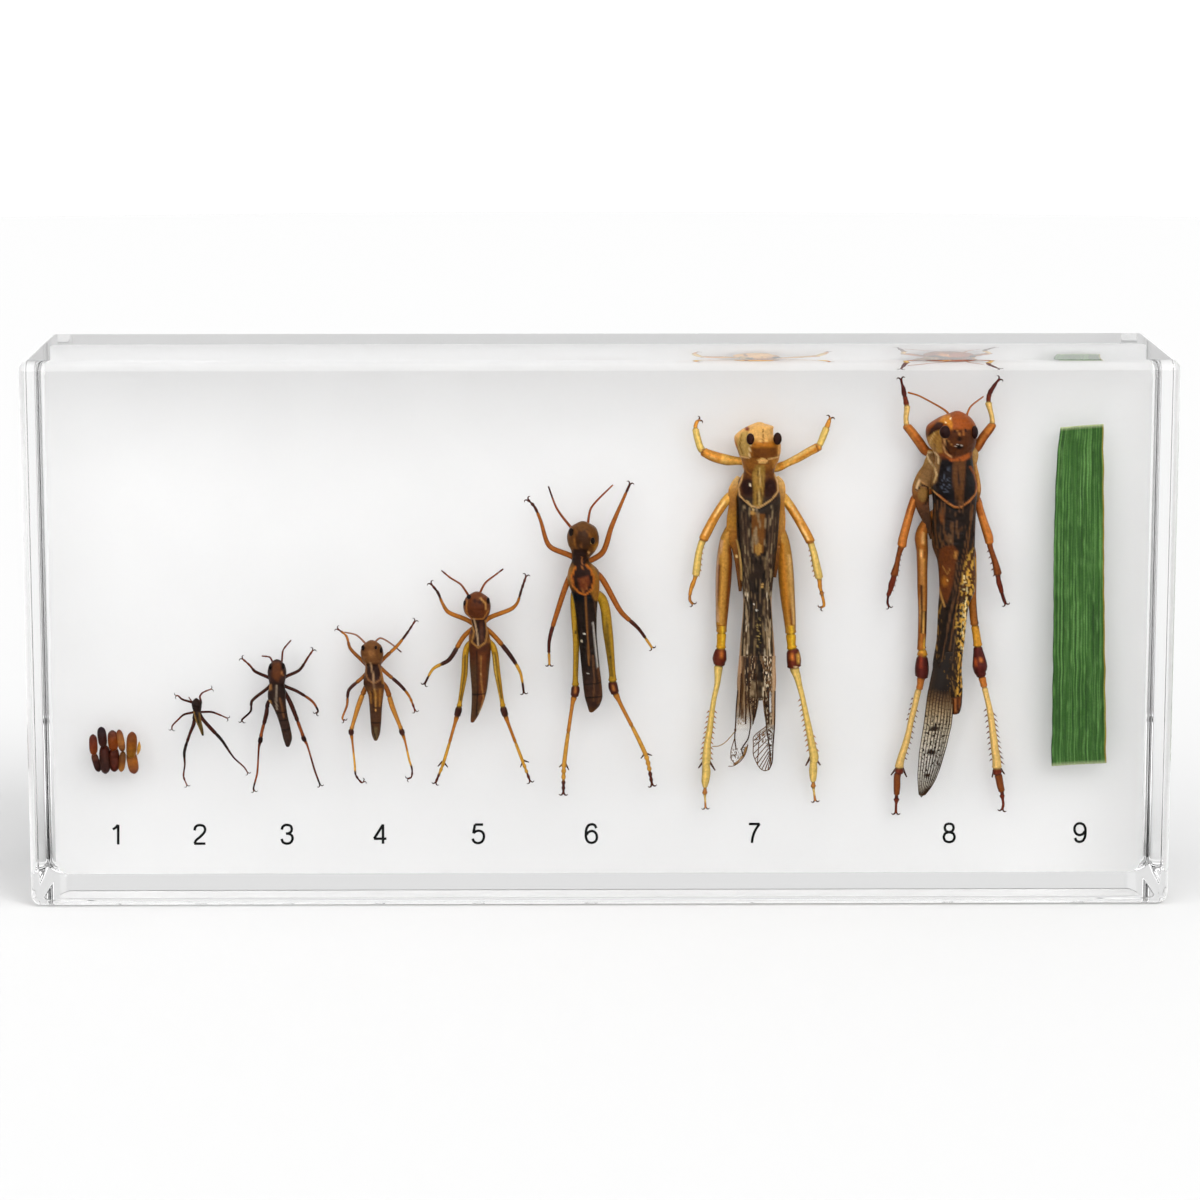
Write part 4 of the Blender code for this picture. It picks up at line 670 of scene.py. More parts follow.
            (911, 723, 3), (909.2, 732.4, 3), (907, 741.7, 3.4), (904.2, 751, 3.6), (901.4, 760, 3.8),
            (899.8, 767, 4.2), (899.4, 773, 4.3), (897.6, 778.6, 3.5), (897.4, 788, 3.5),
            (897.1, 796.4, 2.8), (897, 799.3, 1.7), (897, 802, 3), (896.9, 805.5, 1.6), (896.7, 808, 1.3),
            (896.5, 816.5, 1.4)],
        [(968, 540, 3), (972.5, 552, 3.6), (973.5, 575, 3.6), (972.8, 600, 4), (974, 619, 4),
            (976.3, 634, 4), (977.8, 645, 4.3), (978.3, 651, 4.7), (979.4, 660, 6.4), (980.2, 667.7, 7.5),
            (980.6, 673, 6.3), (981.3, 675.5, 5), (983.1, 682.5, 3.5), (986.3, 695.5, 2.9),
            (988.5, 704.7, 2.9), (990.4, 714, 3.2), (991.8, 723, 3.4), (992.9, 732.4, 3.5),
            (994.2, 741.7, 3.8), (995.3, 751, 3.9), (996.8, 760, 4.3), (997.3, 768, 4.6), (997.6, 773, 4.6),
            (999.6, 780.5, 3.8), (1001, 788, 3.6), (1002.4, 793.4, 3.1), (1003, 796.2, 1.8),
            (1003, 798.5, 2.7), (1003.6, 802, 1.5), (1004.3, 808, 1.4), (1003.2, 813.5, 1.4)],
    ],
    "spurs": [
        [(900.5, 766, 1.6), (891.6, 778, 0.7)], [(901, 766, 1.6), (907.3, 780, 0.7)],
        [(996.6, 765, 1.6), (993, 780.5, 0.7)], [(997, 765, 1.6), (1005.6, 777.3, 0.7)],
    ],
    "plates": [
        [(930, 451, 2, 0.6, "a88450"), (931, 460, 6, 0.6, "96703c"), (930, 470, 8.4, 0.6, "7c5830"),
            (925, 480, 9.4, 0.7, "8c6234"), (921, 490, 9, 0.8, "86562a"), (921.4, 500, 8, 0.8, "6c3e1a"),
            (924, 512, 6, 0.8, "50301a"), (929, 526, 4, 0.8, "3c2412"), (932, 540, 1.8, 0.7, "34200f")],
        [(972, 447, 1.6, 0.6, "b08850"), (974, 455, 4.6, 0.6, "b08850"), (971.6, 465, 5.4, 0.6, "9c6c38"),
            (974.6, 480, 5.4, 0.6, "a8763c"), (976.4, 492, 4.8, 0.6, "8c5c2c"),
            (976, 503, 2.4, 0.6, "5a381c")],
    ],
}

# Numerals printed on the backing: their places, and the strokes of each figure about its middle
NUMERAL_MIDDLE = 833.5
NUMERAL_STROKE = 0.19 * MM
NUMERALS = [
    (117, "1"), (200, "2"), (287, "3"), (380, "4"), (478, "5"), (591, "6"), (754, "7"), (949, "8"),
    (1080, "9"),
]
SIX = [
    (5, -5.4), (3.4, -8.3), (0.6, -9.3), (-2.8, -8.2), (-4.9, -4.6), (-5.5, 0.6), (-5.2, 4.6), (-3.4, 8),
    (0.2, 9.3), (3.6, 8.2), (5.4, 5.2), (5.2, 1.2), (3.2, -1.6), (0.3, -2.5), (-2.8, -1.4), (-5, 1.4),
]
FIGURES = {
    "1": [[(-3.8, -5.3), (-1.2, -6.9), (0.6, -8.8), (1.2, -10)], [(1.5, -9.8), (1.5, 9.8)]],
    "2": [
        [(-5.2, -4), (-4.8, -6.8), (-3, -8.7), (0, -9.3), (3.4, -8.5), (5, -6.3), (5, -3.6), (3.6, -1),
            (0, 2.6), (-3.8, 5.9), (-5.4, 9.2)],
        [(-5.6, 9.2), (5.6, 9.2)],
    ],
    "3": [
        [(-5.2, -4.6), (-4.4, -7.4), (-2.2, -9.1), (0.4, -9.3), (3.4, -8.3), (4.7, -5.6), (4.2, -2.8),
            (1.8, -0.9), (-1.2, -0.6)],
        [(-0.8, -0.6), (2.6, -0.2), (4.9, 1.6), (5.5, 4.3), (4.3, 7.6), (1.6, 9.2), (-1.4, 9.2),
            (-4.2, 7.8), (-5.4, 4.6)],
    ],
    "4": [[(2.8, 9.8), (2.8, -9.6)], [(2.8, -9.4), (-6, 4.6)], [(-6.2, 4.7), (6.2, 4.7)]],
    "5": [
        [(4.8, -9.2), (-3.4, -9.2)], [(-3.4, -9.2), (-4.9, -0.4)],
        [(-4.9, -0.6), (-2.6, -2.4), (0.6, -3), (3.8, -1.9), (5.5, 1), (5.4, 4.6), (3.6, 7.9), (0.6, 9.3),
            (-2.6, 8.9), (-4.8, 7), (-5.5, 4.8)],
    ],
    "6": [SIX],
    "7": [[(-5.4, -9.2), (5.4, -9.2)], [(5.4, -9.2), (2.4, -5.4), (-0.2, -0.4), (-1.8, 4.8), (-2.4, 9.8)]],
    "8": [
        [(0, -9.3), (3.2, -8.2), (4.4, -5), (3.2, -1.9), (0, -0.7), (-3.2, -1.9), (-4.4, -5), (-3.2, -8.2),
            (0, -9.3)],
        [(0, -0.7), (3.9, 0.6), (5.4, 4.3), (3.9, 8), (0, 9.3), (-3.9, 8), (-5.4, 4.3), (-3.9, 0.6),
            (0, -0.7)],
    ],
    "9": [[(-x, -y) for x, y in SIX]],
}

# Wings: left and right edges going down, and the net that fills them: its number of long veins, the
# step between cross veins, the veins' colour, the cells' colours by height, and a seed
PALE_LEFT_WING = (
    [(738.4, 655), (737.4, 689), (736, 708), (735, 729), (734.4, 738), (731, 749), (729.4, 758),
        (730.4, 765)],
    [(757, 655), (759.5, 690), (757.6, 705), (755.4, 716), (752.6, 724), (750, 732), (747.8, 744),
        (744, 756), (736, 765)],
)
PALE_RIGHT_WING = (
    [(759, 655), (761, 690), (763.4, 712), (765.6, 726), (754, 736), (752.9, 754), (756.2, 763),
        (760.6, 769.4)],
    [(775, 655), (774.4, 690), (774, 723), (772.4, 746), (771.4, 762), (767.6, 769.4)],
)
DARK_WING = (
    [(935.4, 652), (927.2, 693), (923.6, 722.6), (918.9, 752), (917.2, 775.7), (918.3, 794.5),
        (920.4, 797.4)],
    [(962, 652), (957, 680), (953, 700), (952, 714), (950.8, 725), (946, 746), (939, 770), (933, 784),
        (925.4, 794.5), (921.4, 797.4)],
)
PALE_LEFT_NET = (
    0, 1.0, "000000",
    [(656, "6e5236"), (688, "8a6a46f0"), (706, "a8845ab0"), (720, "c8b49860"), (732, "e8e2d816")], 1.0,
)
PALE_RIGHT_NET = (
    0, 1.0, "000000",
    [(656, "6e5236"), (690, "a07c54f0"), (718, "b89468c0"), (728, "c8b49860"), (740, "e8e2d81a")], 1.0,
)
DARK_NET = (
    9, 3.7, "20140c",
    [(655, "2a1c12"), (688, "3c2a1a"), (700, "7a5c3c"), (712, "b89c74"), (726, "d8c8a8f0"),
        (745, "ece2cce0"), (765, "f6f0e4b8"), (795, "f2e8d0b8")],
    2.0,
)
LEFT_CORE = [
    (743, 640), (762, 640), (761.4, 690), (757.8, 705), (755.6, 716), (752.4, 724), (750.6, 706),
    (745, 698),
]
PALE_LEFT_MARKS = [
    ("line", "b8906ae8", 0, (1.5, [(739.6, 655), (739, 690), (738.6, 700)])),
    ("grain", "5c3c20e0", 0, (0, 1, 0.06, [(739, 655), (747, 655), (747, 722), (738, 716)])),
    ("area", "5a3e26f4", 0, (1.5, LEFT_CORE)), ("grain", "1e120a", 0, (-0.08, 0.95, 0.07, LEFT_CORE)),
    ("grain", "c8a880", 0, (0.2, 0.9, 0.12, LEFT_CORE)), ("grain", "2e1c0e", 0, (0.1, 0.7, 0.6, LEFT_CORE)),
    ("grain", "4c3018", 0, (0.12, 0.8, 0.5, [(737, 712), (743, 712), (744, 724), (737, 724)])),
    ("grain", "5a3a1c", 0, (0.02, 0.75, 0.7, [(730.4, 750), (737, 749), (739, 757), (735, 763),
        (730.6, 760)])),
    ("grain", "4c2c12", 0, (0, 0.7, 0.7, [(740.4, 746), (747, 745), (745.4, 757), (741, 759)])),
    ("line", "a87838", 0, (1.2, [(746, 748), (743.6, 755), (739, 761), (734, 764.6)])),
]
RIGHT_BAND = [(762, 655), (771, 655), (771.4, 724), (765.8, 725), (763.4, 712)]
PALE_RIGHT_MARKS = [
    ("line", "c09a72e8", 0, (1.4, [(773.2, 655), (773, 690), (772.4, 723)])),
    ("area", "6a4a2ce8", 0, (1.2, RIGHT_BAND)), ("grain", "22140a", 0, (-0.02, 0.7, 0.4, RIGHT_BAND)),
    ("grain", "dcc8a8", 0, (0.16, 0.8, 0.3, RIGHT_BAND)),
    ("line", "f0ebe440", 0, (0.8, [(769.6, 692), (769.8, 711)])),
    ("grain", "3c2410", 0, (-0.04, 0.75, 0.75, [(765.6, 726), (772.4, 726), (772, 752), (769.6, 757),
        (766.6, 748)])),
    ("grain", "6a4420", 0, (0.08, 0.7, 0.7, [(754.6, 736), (765, 728), (765, 742), (754, 745)])),
]
DARK_WING_MARKS = [
    ("spot", "20140c", 0, (934, 728, 5.4, 2.2, 0.9)), ("spot", "20140c", 0, (931, 752, 5, 3, 0.9)),
    ("spot", "2c1c10", 0, (926.7, 775, 3.2, 2, 0.9)),
    ("grain", "20140c", 0, (0.22, 0.45, 0.35, [(924, 715), (950, 715), (938, 772), (920, 772)])),
    ("area", "1c120c", 0, (6, [(936, 652), (962, 652), (955, 690), (944, 694), (932, 688)])),
]

# Depth of a wing in mm: at its top, at its foot, and how far it bows out between its edges
PALE_WING_DEPTH = (-1.4, 0.2, 0.4)
DARK_WING_DEPTH = (-0.6, -0.2, 0.7)

# Long veins of the dark wing: their heights in pixels, depths, thickness and places across the wing
DARK_VEIN_HEIGHTS = range(690, 797, 7)
DARK_VEIN_DEPTH = (-0.9, -0.6)
DARK_VEIN_THICKNESS = 0.06 * MM
DARK_VEIN_SHARES = (0.0, 0.11, 0.22, 0.34, 0.46, 0.58, 0.7, 0.82, 0.92, 1.0)

# Veins and loose threads: colour, thickness in mm, depth at both ends in mm, and their lines
PALE_VEINS = [
    ("3a200c", 0.1, (-2, -0.4), [[(737.1, 689), (735.7, 708), (734.7, 729), (734.2, 737), (735.7, 749.4)],
        [(748.1, 670), (748.6, 703.5), (750, 723.6), (747.6, 738), (741.4, 748.5), (742.8, 756)],
        [(745.2, 690), (745.2, 723.6)], [(740.6, 672), (739.6, 700), (739.2, 716)], [(755, 672),
        (756.4, 700), (752.4, 723.6)], [(765.8, 725.5), (768, 740), (770.2, 756)], [(763.6, 690),
        (765.8, 725.5)], [(774.4, 690), (774, 723.6), (772.5, 746.6), (771.6, 761.9), (768.7, 769.5)],
        [(767.6, 690), (768.6, 724)]]),
    ("5c3818", 0.075, (-2, -0.4), [[(765.8, 725.5), (753.4, 736), (752.9, 744.6), (752.9, 754.2),
        (756.2, 762.8), (760, 768.6), (764.4, 770.7), (768.7, 769.5)], [(765, 730), (753.4, 740)],
        [(765.6, 735), (752.9, 746.6)], [(766.4, 740), (753, 753.4)], [(767.2, 744), (754.6, 758.8)],
        [(768, 748), (756.8, 763.8)], [(768.8, 751), (759, 767)], [(769.6, 753), (761.4, 769.4)],
        [(770, 755), (764.6, 770.4)], [(770.2, 757), (767.4, 770)], [(770.6, 757), (770, 766)], [(759, 732),
        (757, 764)], [(747.4, 744.6), (744.8, 754), (740, 761), (733.3, 765.7), (728, 766.2)],
        [(734.4, 737), (730.6, 750), (731, 759), (735, 764)]]),
    ("a08050", 0.08, (-2, -0.4), [[(734.2, 731.2), (729.4, 737), (723.7, 742.7), (718, 745.6),
        (711.7, 746)]]),
    ("4a2c14", 0.16, (-2, -0.4), [[(745.6, 702.6), (745.8, 704.6)], [(734.6, 728.2), (734.8, 730.6)]]),
]

# Spines: a limb's number, its side, the heights that the row spans, and the spines' length in pixels
PALE_SPINES = [
    (4, -1, 713, 760, 2.6), (4, 1, 713, 760, 2.6), (5, -1, 701, 752, 2.6), (5, 1, 737, 752, 2.4),
    (2, 1, 548, 578, 1.6), (3, -1, 552, 578, 1.6),
]
DARK_SPINES = [
    (6, 1, 712, 760, 2.8), (6, -1, 700, 722, 2), (7, 1, 715, 764, 3.8), (7, -1, 712, 762, 2.6),
    (5, -1, 553, 578, 1.8), (4, 1, 556, 592, 1.6),
]

# Leaf: its left and right edges at six heights, how its cut ends slant, and its colours
LEAF_ROWS = [
    (424, 1060.5, 1103.3), (470, 1056.2, 1103.8), (533, 1054, 1104.2), (600, 1053.4, 1104.4),
    (690, 1052.4, 1105.4), (768, 1051.3, 1106.4),
]
LEAF_TOP = (428.0, 424.6)
LEAF_FOOT = (767.0, 763.8)
LEAF_VEINS = 16
LEAF_TONES = ["33601f", "6a9a50", "1c3a12", "a88420", "c8d0a0"]

# Heights between which a vein's two depths hold
WING_TOP = 655
WING_FOOT = 765

# Colours that meet without a joint, and colours of knobbed feet
SOFT_CODES = set("fgohr")
FOOT_CODES = set("t")

# Limbs: painted shade at their edges, how far joints are pinched, swollen and darkened, and a foot's knobs
# The edge shade also sets a painted highlight in a stripe beside each limb's middle
LIMB_SHADE = 0.4
JOINT_PINCH = 0.22
JOINT_COLLAR = 0.12
JOINT_SHADE = 0.55
FOOT_KNOBS = 0.2

# Spines of the shins: how far apart and how wide in pixels, how much longer than listed, how far they
# lean to the side and down, and how deep they stand
SPINE_SPACING = 5.2
SPINE_WIDTH = 0.95
SPINE_STRETCH = 1.5
SPINE_LEAN = (0.75, -0.65)
SPINE_DEPTH = 2.2 * MM

# Eggs: half width as a share of the listed width, bluntness of the ends, and depth beside the sheet in mm
EGG_HALF = 0.56
EGG_BLUNTNESS = 3.4
EGG_DEPTH = 0.25

# Wing film in mm: how far it ripples, half its thickness at the rim, and what it gains in the middle
FILM_RIPPLE = 0.12
FILM_RIM = 0.02
FILM_MIDDLE = 0.03

# Grass blade in mm: its wave, ribs, blisters and half thickness
LEAF_WAVE = 0.3
LEAF_RIB = 0.06
LEAF_BLISTER = 0.22
LEAF_HALF = 0.16

# How roundly a line bends at its points, and how uneven a shell is
CURVE_EASE = 0.85
SHELL_ROUGH = 0.03


def srgb(red, green, blue):
    """A colour as the eye names it, 0 to 255 a channel, in the linear values that shaders take."""
    return tuple(
        ((c / 255 + 0.055) / 1.055) ** 2.4 if c > 10 else c / 255 / 12.92 for c in (red, green, blue)
    )


def tone(code):
    """A colour written as six or eight hexadecimal digits. The last two say how solid it is."""
    red, green, blue = (int(code[place:place + 2], 16) for place in (0, 2, 4))
    solid = int(code[6:8], 16) / 255 if len(code) == 8 else 1.0
    return (*srgb(red, green, blue), solid)


def set_values(node, values):
    """Sets a node's inputs by name."""
    for name, value in values.items():
        node.inputs[name].default_value = value


def new_material(name):
    material = bpy.data.materials.new(name)
    material.use_nodes = True
    return material, material.node_tree.nodes, material.node_tree.links


def place_piece(name, mesh, material=None):
    piece = bpy.data.objects.new(name, mesh)
    bpy.context.scene.collection.objects.link(piece)
    if material:
        mesh.materials.append(material)
    return piece


def finish_piece(name, shape, material, slot, *nodes):
    """A finished mesh as a piece of the object, standing for the CAD nodes named."""
    bmesh.ops.recalc_face_normals(shape, faces=shape.faces)
    mesh = bpy.data.meshes.new(name)
    shape.to_mesh(mesh)
    shape.free()
    mesh.shade_smooth()
    piece = place_piece(name, mesh, material)
    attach(piece, "root")
    if nodes:
        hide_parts(*nodes)
    return piece


def on_sheet(px, py, deeper=0.0):
    """The place in the block, in metres, that a pixel of the front view shows at the sheet's depth."""
    right = px - VIEW_MIDDLE
    down = py - VIEW_MIDDLE
    x = SHEET_X + right * (PIXEL + PIXEL_GROWTH * down)
    z = SHEET_Z - down * (PIXEL_DROP + PIXEL_GROWTH * down)
    return Vector((x, SHEET_Y + deeper, z))


def on_backing(px, py, y):
    """The place just in front of the backing that a pixel of the front view shows."""
    right = px - VIEW_MIDDLE
    down = py - VIEW_MIDDLE
    x = (BACKING_X + right * (BACKING_PIXEL + BACKING_GROWTH * down)) * MM
    z = (BACKING_Z - BACKING_DROP * down - BACKING_GROWTH * down * down) * MM
    return Vector((x, y, z))


def smooth_rows(points, spacing):
    """Rows of numbers on a smooth curve through the given rows. The first two numbers are x and y."""
    rows = []
    last = len(points) - 1
    for number in range(last):
        before = points[max(number - 1, 0)]
        start = points[number]
        end = points[number + 1]
        after = points[min(number + 2, last)]
        run = math.dist(start[:2], end[:2]) or 1e-6
        lead = run / ((math.dist(before[:2], start[:2]) + run) or 1e-6)
        follow = run / ((math.dist(end[:2], after[:2]) + run) or 1e-6)
        steps = max(1, round(run / spacing))
        for step in range(steps):
            t = step / steps
            row = []
            for a, b, c, d in zip(before, start, end, after):
                leave = (c - a) * lead * CURVE_EASE
                arrive = (d - b) * follow * CURVE_EASE
                rise = t * t * (3 - 2 * t)
                row.append(b + (c - b) * rise + leave * t * (1 - t) ** 2 - arrive * t * t * (1 - t))
            rows.append(row)
    rows.append(list(points[last]))
    return rows


def line_distance(points, px, py):
    nearest = 1e9
    for (x0, y0), (x1, y1) in zip(points, points[1:]):
        run_x = x1 - x0
        run_y = y1 - y0
        share = ((px - x0) * run_x + (py - y0) * run_y) / (run_x * run_x + run_y * run_y + 1e-9)
        share = min(max(share, 0.0), 1.0)
        nearest = min(nearest, math.hypot(px - x0 - run_x * share, py - y0 - run_y * share))
    return nearest


def inside(points, px, py):
    """Whether a point lies in a closed outline."""
    within = False
    for (x0, y0), (x1, y1) in zip(points, points[1:] + points[:1]):
        if (y0 > py) != (y1 > py) and px < x0 + (x1 - x0) * (py - y0) / (y1 - y0):
            within = not within
    return within


def area_cover(points, px, py, soft):
    gap = line_distance(points + points[:1], px, py)
    signed = gap if inside(points, px, py) else -gap
    return min(max(0.5 + signed / soft, 0.0), 1.0)


def mark_cover(mark, px, py):
    """How much of a mark shows at a point, from 0 to 1."""
    kind = mark[0]
    if kind == "spot":
        x, y, wide, tall, soft = mark[3]
        away = math.hypot((px - x) / wide, (py - y) / tall)
        return min(max((1.0 - away) / soft + 0.5, 0.0), 1.0)
    if kind == "line":
        half, points = mark[3]
        return min(max(1.5 - line_distance(points, px, py) / half, 0.0), 1.0)
    if kind == "area":
        soft, points = mark[3]
        return area_cover(points, px, py, soft)
    level, fine, long, points = mark[3]
    grain = noise.noise((px * fine, py * long, 3.7 + level))
    shows = min(max((grain - level) * 6.0, 0.0), 1.0)
    return shows * area_cover(points, px, py, 3.0) if shows else 0.0


def prepared(marks):
    """Marks with the box that each one lies in, so that far ones are passed over quickly."""
    ready = []
    for mark in marks:
        if mark[0] == "spot":
            x, y, wide, tall, soft = mark[3]
            reach = 1.0 + soft
            box = (x - wide * reach, x + wide * reach, y - tall * reach, y + tall * reach)
        else:
            points = mark[3][-1]
            margin = mark[3][0] * 2 if mark[0] == "line" else 3.0
            xs = [point[0] for point in points]
            ys = [point[1] for point in points]
            box = (min(xs) - margin, max(xs) + margin, min(ys) - margin, max(ys) + margin)
        ready.append((box, tone(mark[1]) if mark[1] else None, mark[2], mark))
    return ready


def painted(px, py, colour, marks):
    """The colour at a point after all marks, and how far the surface stands out there, in mm."""
    out = 0.0
    colour = list(colour)
    for box, paint, push, mark in marks:
        if box[0] <= px <= box[1] and box[2] <= py <= box[3]:
            share = mark_cover(mark, px, py)
            if share > 0.0:
                out += push * share
                if paint:
                    colour = [old + (new - old) * share for old, new in zip(colour, paint)]
    return colour, out


def add_shell(shape, layer, rows, sides, marks=(), level=False, rough=SHELL_ROUGH, edge=0.0):
    """A closed shell of rings along a line of the front view.

    A row is x, y, half width, depth, thickness as a share of the width, and the colour.
    The colour gets painted shade towards the sides, by the edge share, and a painted highlight along a ridge.
    """
    loops = []
    last = len(rows) - 1
    for number, (px, py, half, deep, share, *colour) in enumerate(rows):
        x0, y0 = rows[max(number - 1, 0)][:2]
        x1, y1 = rows[min(number + 1, last)][:2]
        length = math.hypot(x1 - x0, y1 - y0) or 1.0
        across = (1.0, 0.0) if level else ((y1 - y0) / length, (x0 - x1) / length)
        half = max(half, 0.15)
        loop = []
        for side in range(sides):
            angle = math.tau * side / sides
            back = math.sin(angle)
            aside = math.cos(angle)
            vx = px + across[0] * aside * half
            vy = py + across[1] * aside * half
            paint, push = painted(vx, vy, colour, marks) if back < 0.35 else (colour, 0.0)
            # Painted shade darkens the sides, and a painted highlight lightens a stripe beside the middle
            if edge:
                shade = 1.0 - edge * abs(aside) ** 3 + edge * 0.8 * math.exp(-((aside + 0.25) * 5.0) ** 2)
                paint = [*(value * shade for value in paint[:3]), paint[3]]
            bump = noise.noise((vx * 0.4, vy * 0.4, back * 2.0)) * rough * min(half, 6.0)
            deeper = deep + back * (half * share * PIXEL_MM + push + bump)
            vertex = shape.verts.new(on_sheet(vx, vy, deeper * MM))
            vertex[layer] = [max(value, 0.0) for value in paint]
            loop.append(vertex)
        loops.append(loop)
    for upper, lower in zip(loops, loops[1:]):
        for side in range(sides):
            after = (side + 1) % sides
            shape.faces.new((upper[side], lower[side], lower[after], upper[after]))
    shape.faces.new(loops[0])
    shape.faces.new(list(reversed(loops[-1])))


def rounded_ends(points):
    """The rings of a shell with two small ones added beyond its ends, so that it closes in a dome."""
    first = list(points[0])
    last = list(points[-1])
    first[1] -= first[2] * 0.25
    last[1] += last[2] * 0.25
    first[2] *= 0.35
    last[2] *= 0.35
    return [first, *points, last]


def add_ball(shape, layer, place, paint):
    """A rounded body such as an eye: its centre, its half sizes across, along and in depth, and its depth."""
    px, py, wide, tall, deep, thick = place
    rows = []
    for step in range(13):
        angle = math.pi * step / 12
        round_share = max(math.sin(angle), 0.04)
        thickness = thick / (wide * PIXEL_MM)
        rows.append((px, py - tall * math.cos(angle), wide * round_share, deep, thickness, *paint))
    add_shell(shape, layer, rows, 16, level=True, rough=0.0)


def limb_rows(points, codes, palette, reach, spacing):
    """The rows of one limb: its line, thickness and depth, colours that change sharply, and joints."""
    at_body, at_tip, rise = reach
    last = len(points) - 1
    bends = []
    for number, (px, py, half) in enumerate(points):
        along = number / last
        depth_here = at_body + (at_tip - at_body) * along - rise * math.sin(math.pi * along)
        bends.append((px, py, half, depth_here, number))
    rows = []
    walked = 0.0
    before = bends[0]
    for px, py, half, deep, place in smooth_rows(bends, spacing):
        walked += math.dist((px, py), before[:2])
        before = (px, py)
        first = min(max(int(place), 0), last - 1)
        share = place - first
        upper, lower = (codes[min(number, len(codes) - 1)] for number in (first, first + 1))
        run = math.dist(points[first][:2], points[first + 1][:2])
        blend = min(max((share - 0.5) * run / 2.0 + 0.5, 0.0), 1.0)
        light, deep_tone = (tone(palette.get(code, palette["k"])) for code in (upper, lower))
        paint = [a + (b - a) * blend for a, b in zip(light, deep_tone)]
        if upper != lower and not {upper, lower} <= SOFT_CODES and half > 1.2:
            from_joint = (share - 0.5) * run
            pinch = JOINT_PINCH * math.exp(-from_joint ** 2)
            collar = JOINT_COLLAR * math.exp(-(from_joint + 1.6) ** 2)
            half *= 1.0 - pinch + collar
            shade = 1.0 - JOINT_SHADE * math.exp(-(from_joint * 1.4) ** 2)
            paint = [value * shade for value in paint[:3]] + [1.0]
        if lower in FOOT_CODES and half > 0.8:
            half *= 1.0 + FOOT_KNOBS * math.cos(walked * 1.1)
        rows.append((px, py, half, deep, 1.0, *paint))
    return rows


def body_middle(rings, py):
    """The middle of the body at a height, where a limb at that height grows from."""
    for (x0, y0, *_), (x1, y1, *_) in zip(rings, rings[1:]):
        if y0 <= py <= y1:
            return x0 + (x1 - x0) * (py - y0) / (y1 - y0)
    return rings[0][0] if py < rings[0][1] else rings[-1][0]


def insect(name, plan, build, material, slot):
    """One insect's body, eyes, limbs, spurs and claws, as one dried and darkened shell."""
    reach, thickness, spacing, body_sides, limb_sides = build
    shape = bmesh.new()
    layer = shape.verts.layers.float_color.new("tone")
    palette = plan["palette"]
    marks = prepared(plan.get("marks", []))
    rings = []
    for number, ((px, py, half), code) in enumerate(zip(plan["body"], plan["body_codes"])):
        along = number / (len(plan["body"]) - 1)
        share = thickness[0] + (thickness[1] - thickness[0]) * along
        rings.append((px, py, half, 0.0, share, *tone(palette[code])))
    add_shell(shape, layer, smooth_rows(rounded_ends(rings), spacing), body_sides, marks, level=True)
    for px, py, wide, tall, deep in plan.get("eyes", []):
        add_ball(shape, layer, (px, py, wide, tall, deep, wide * PIXEL_MM), tone(palette["e"]))
    limb_marks = prepared(plan.get("limb_marks", []))
    for points, codes in zip(plan["limbs"], plan["limb_codes"]):
        rows = limb_rows([leg_root(plan["body"], points), *points], codes[0] + codes, palette, reach, spacing)
        # Limbs get painted shade along their sides and a painted highlight beside their middle
        add_shell(shape, layer, rows, limb_sides, limb_marks, edge=LIMB_SHADE)
        if len(points) > 3 and codes[0] != "r":
            leg_claws(shape, layer, points, palette, reach[1], spacing)
    for points in plan.get("spurs", []):
        depth = (reach[1] * 0.8, reach[1] * 0.9, 0.0)
        add_shell(shape, layer, limb_rows(points, "u", palette, depth, spacing), 8)
    for plate in plan.get("plates", []):
        rows = [(px, py, half, deep, 0.3, *tone(code)) for px, py, half, deep, code in plate]
        add_shell(shape, layer, smooth_rows(rows, spacing), 24, marks)
    return finish_piece(name, shape, material, slot, plan["node"])


def leg_claws(shape, layer, points, palette, depth, spacing):
    """Two small curved claws on a leg's foot."""
    (x0, y0, *_), (x1, y1, tip) = points[-2], points[-1]
    length = math.hypot(x1 - x0, y1 - y0)
    ahead = ((x1 - x0) / length, (y1 - y0) / length)
    reach = 1.2 * tip + 1.4
    for side in (-1.0, 1.0):
        hook = []
        for along, away, wide in ((-0.4, 0.1, 0.7), (0.25, 0.55, 0.6), (0.35, 1.05, 0.45), (0.0, 1.45, 0.2)):
            px = x1 + reach * (ahead[0] * along - ahead[1] * away * side)
            py = y1 + reach * (ahead[1] * along + ahead[0] * away * side)
            hook.append((px, py, tip * wide))
        rows = limb_rows(hook, "u", palette, (depth, depth, 0.0), spacing)
        add_shell(shape, layer, rows, 8)


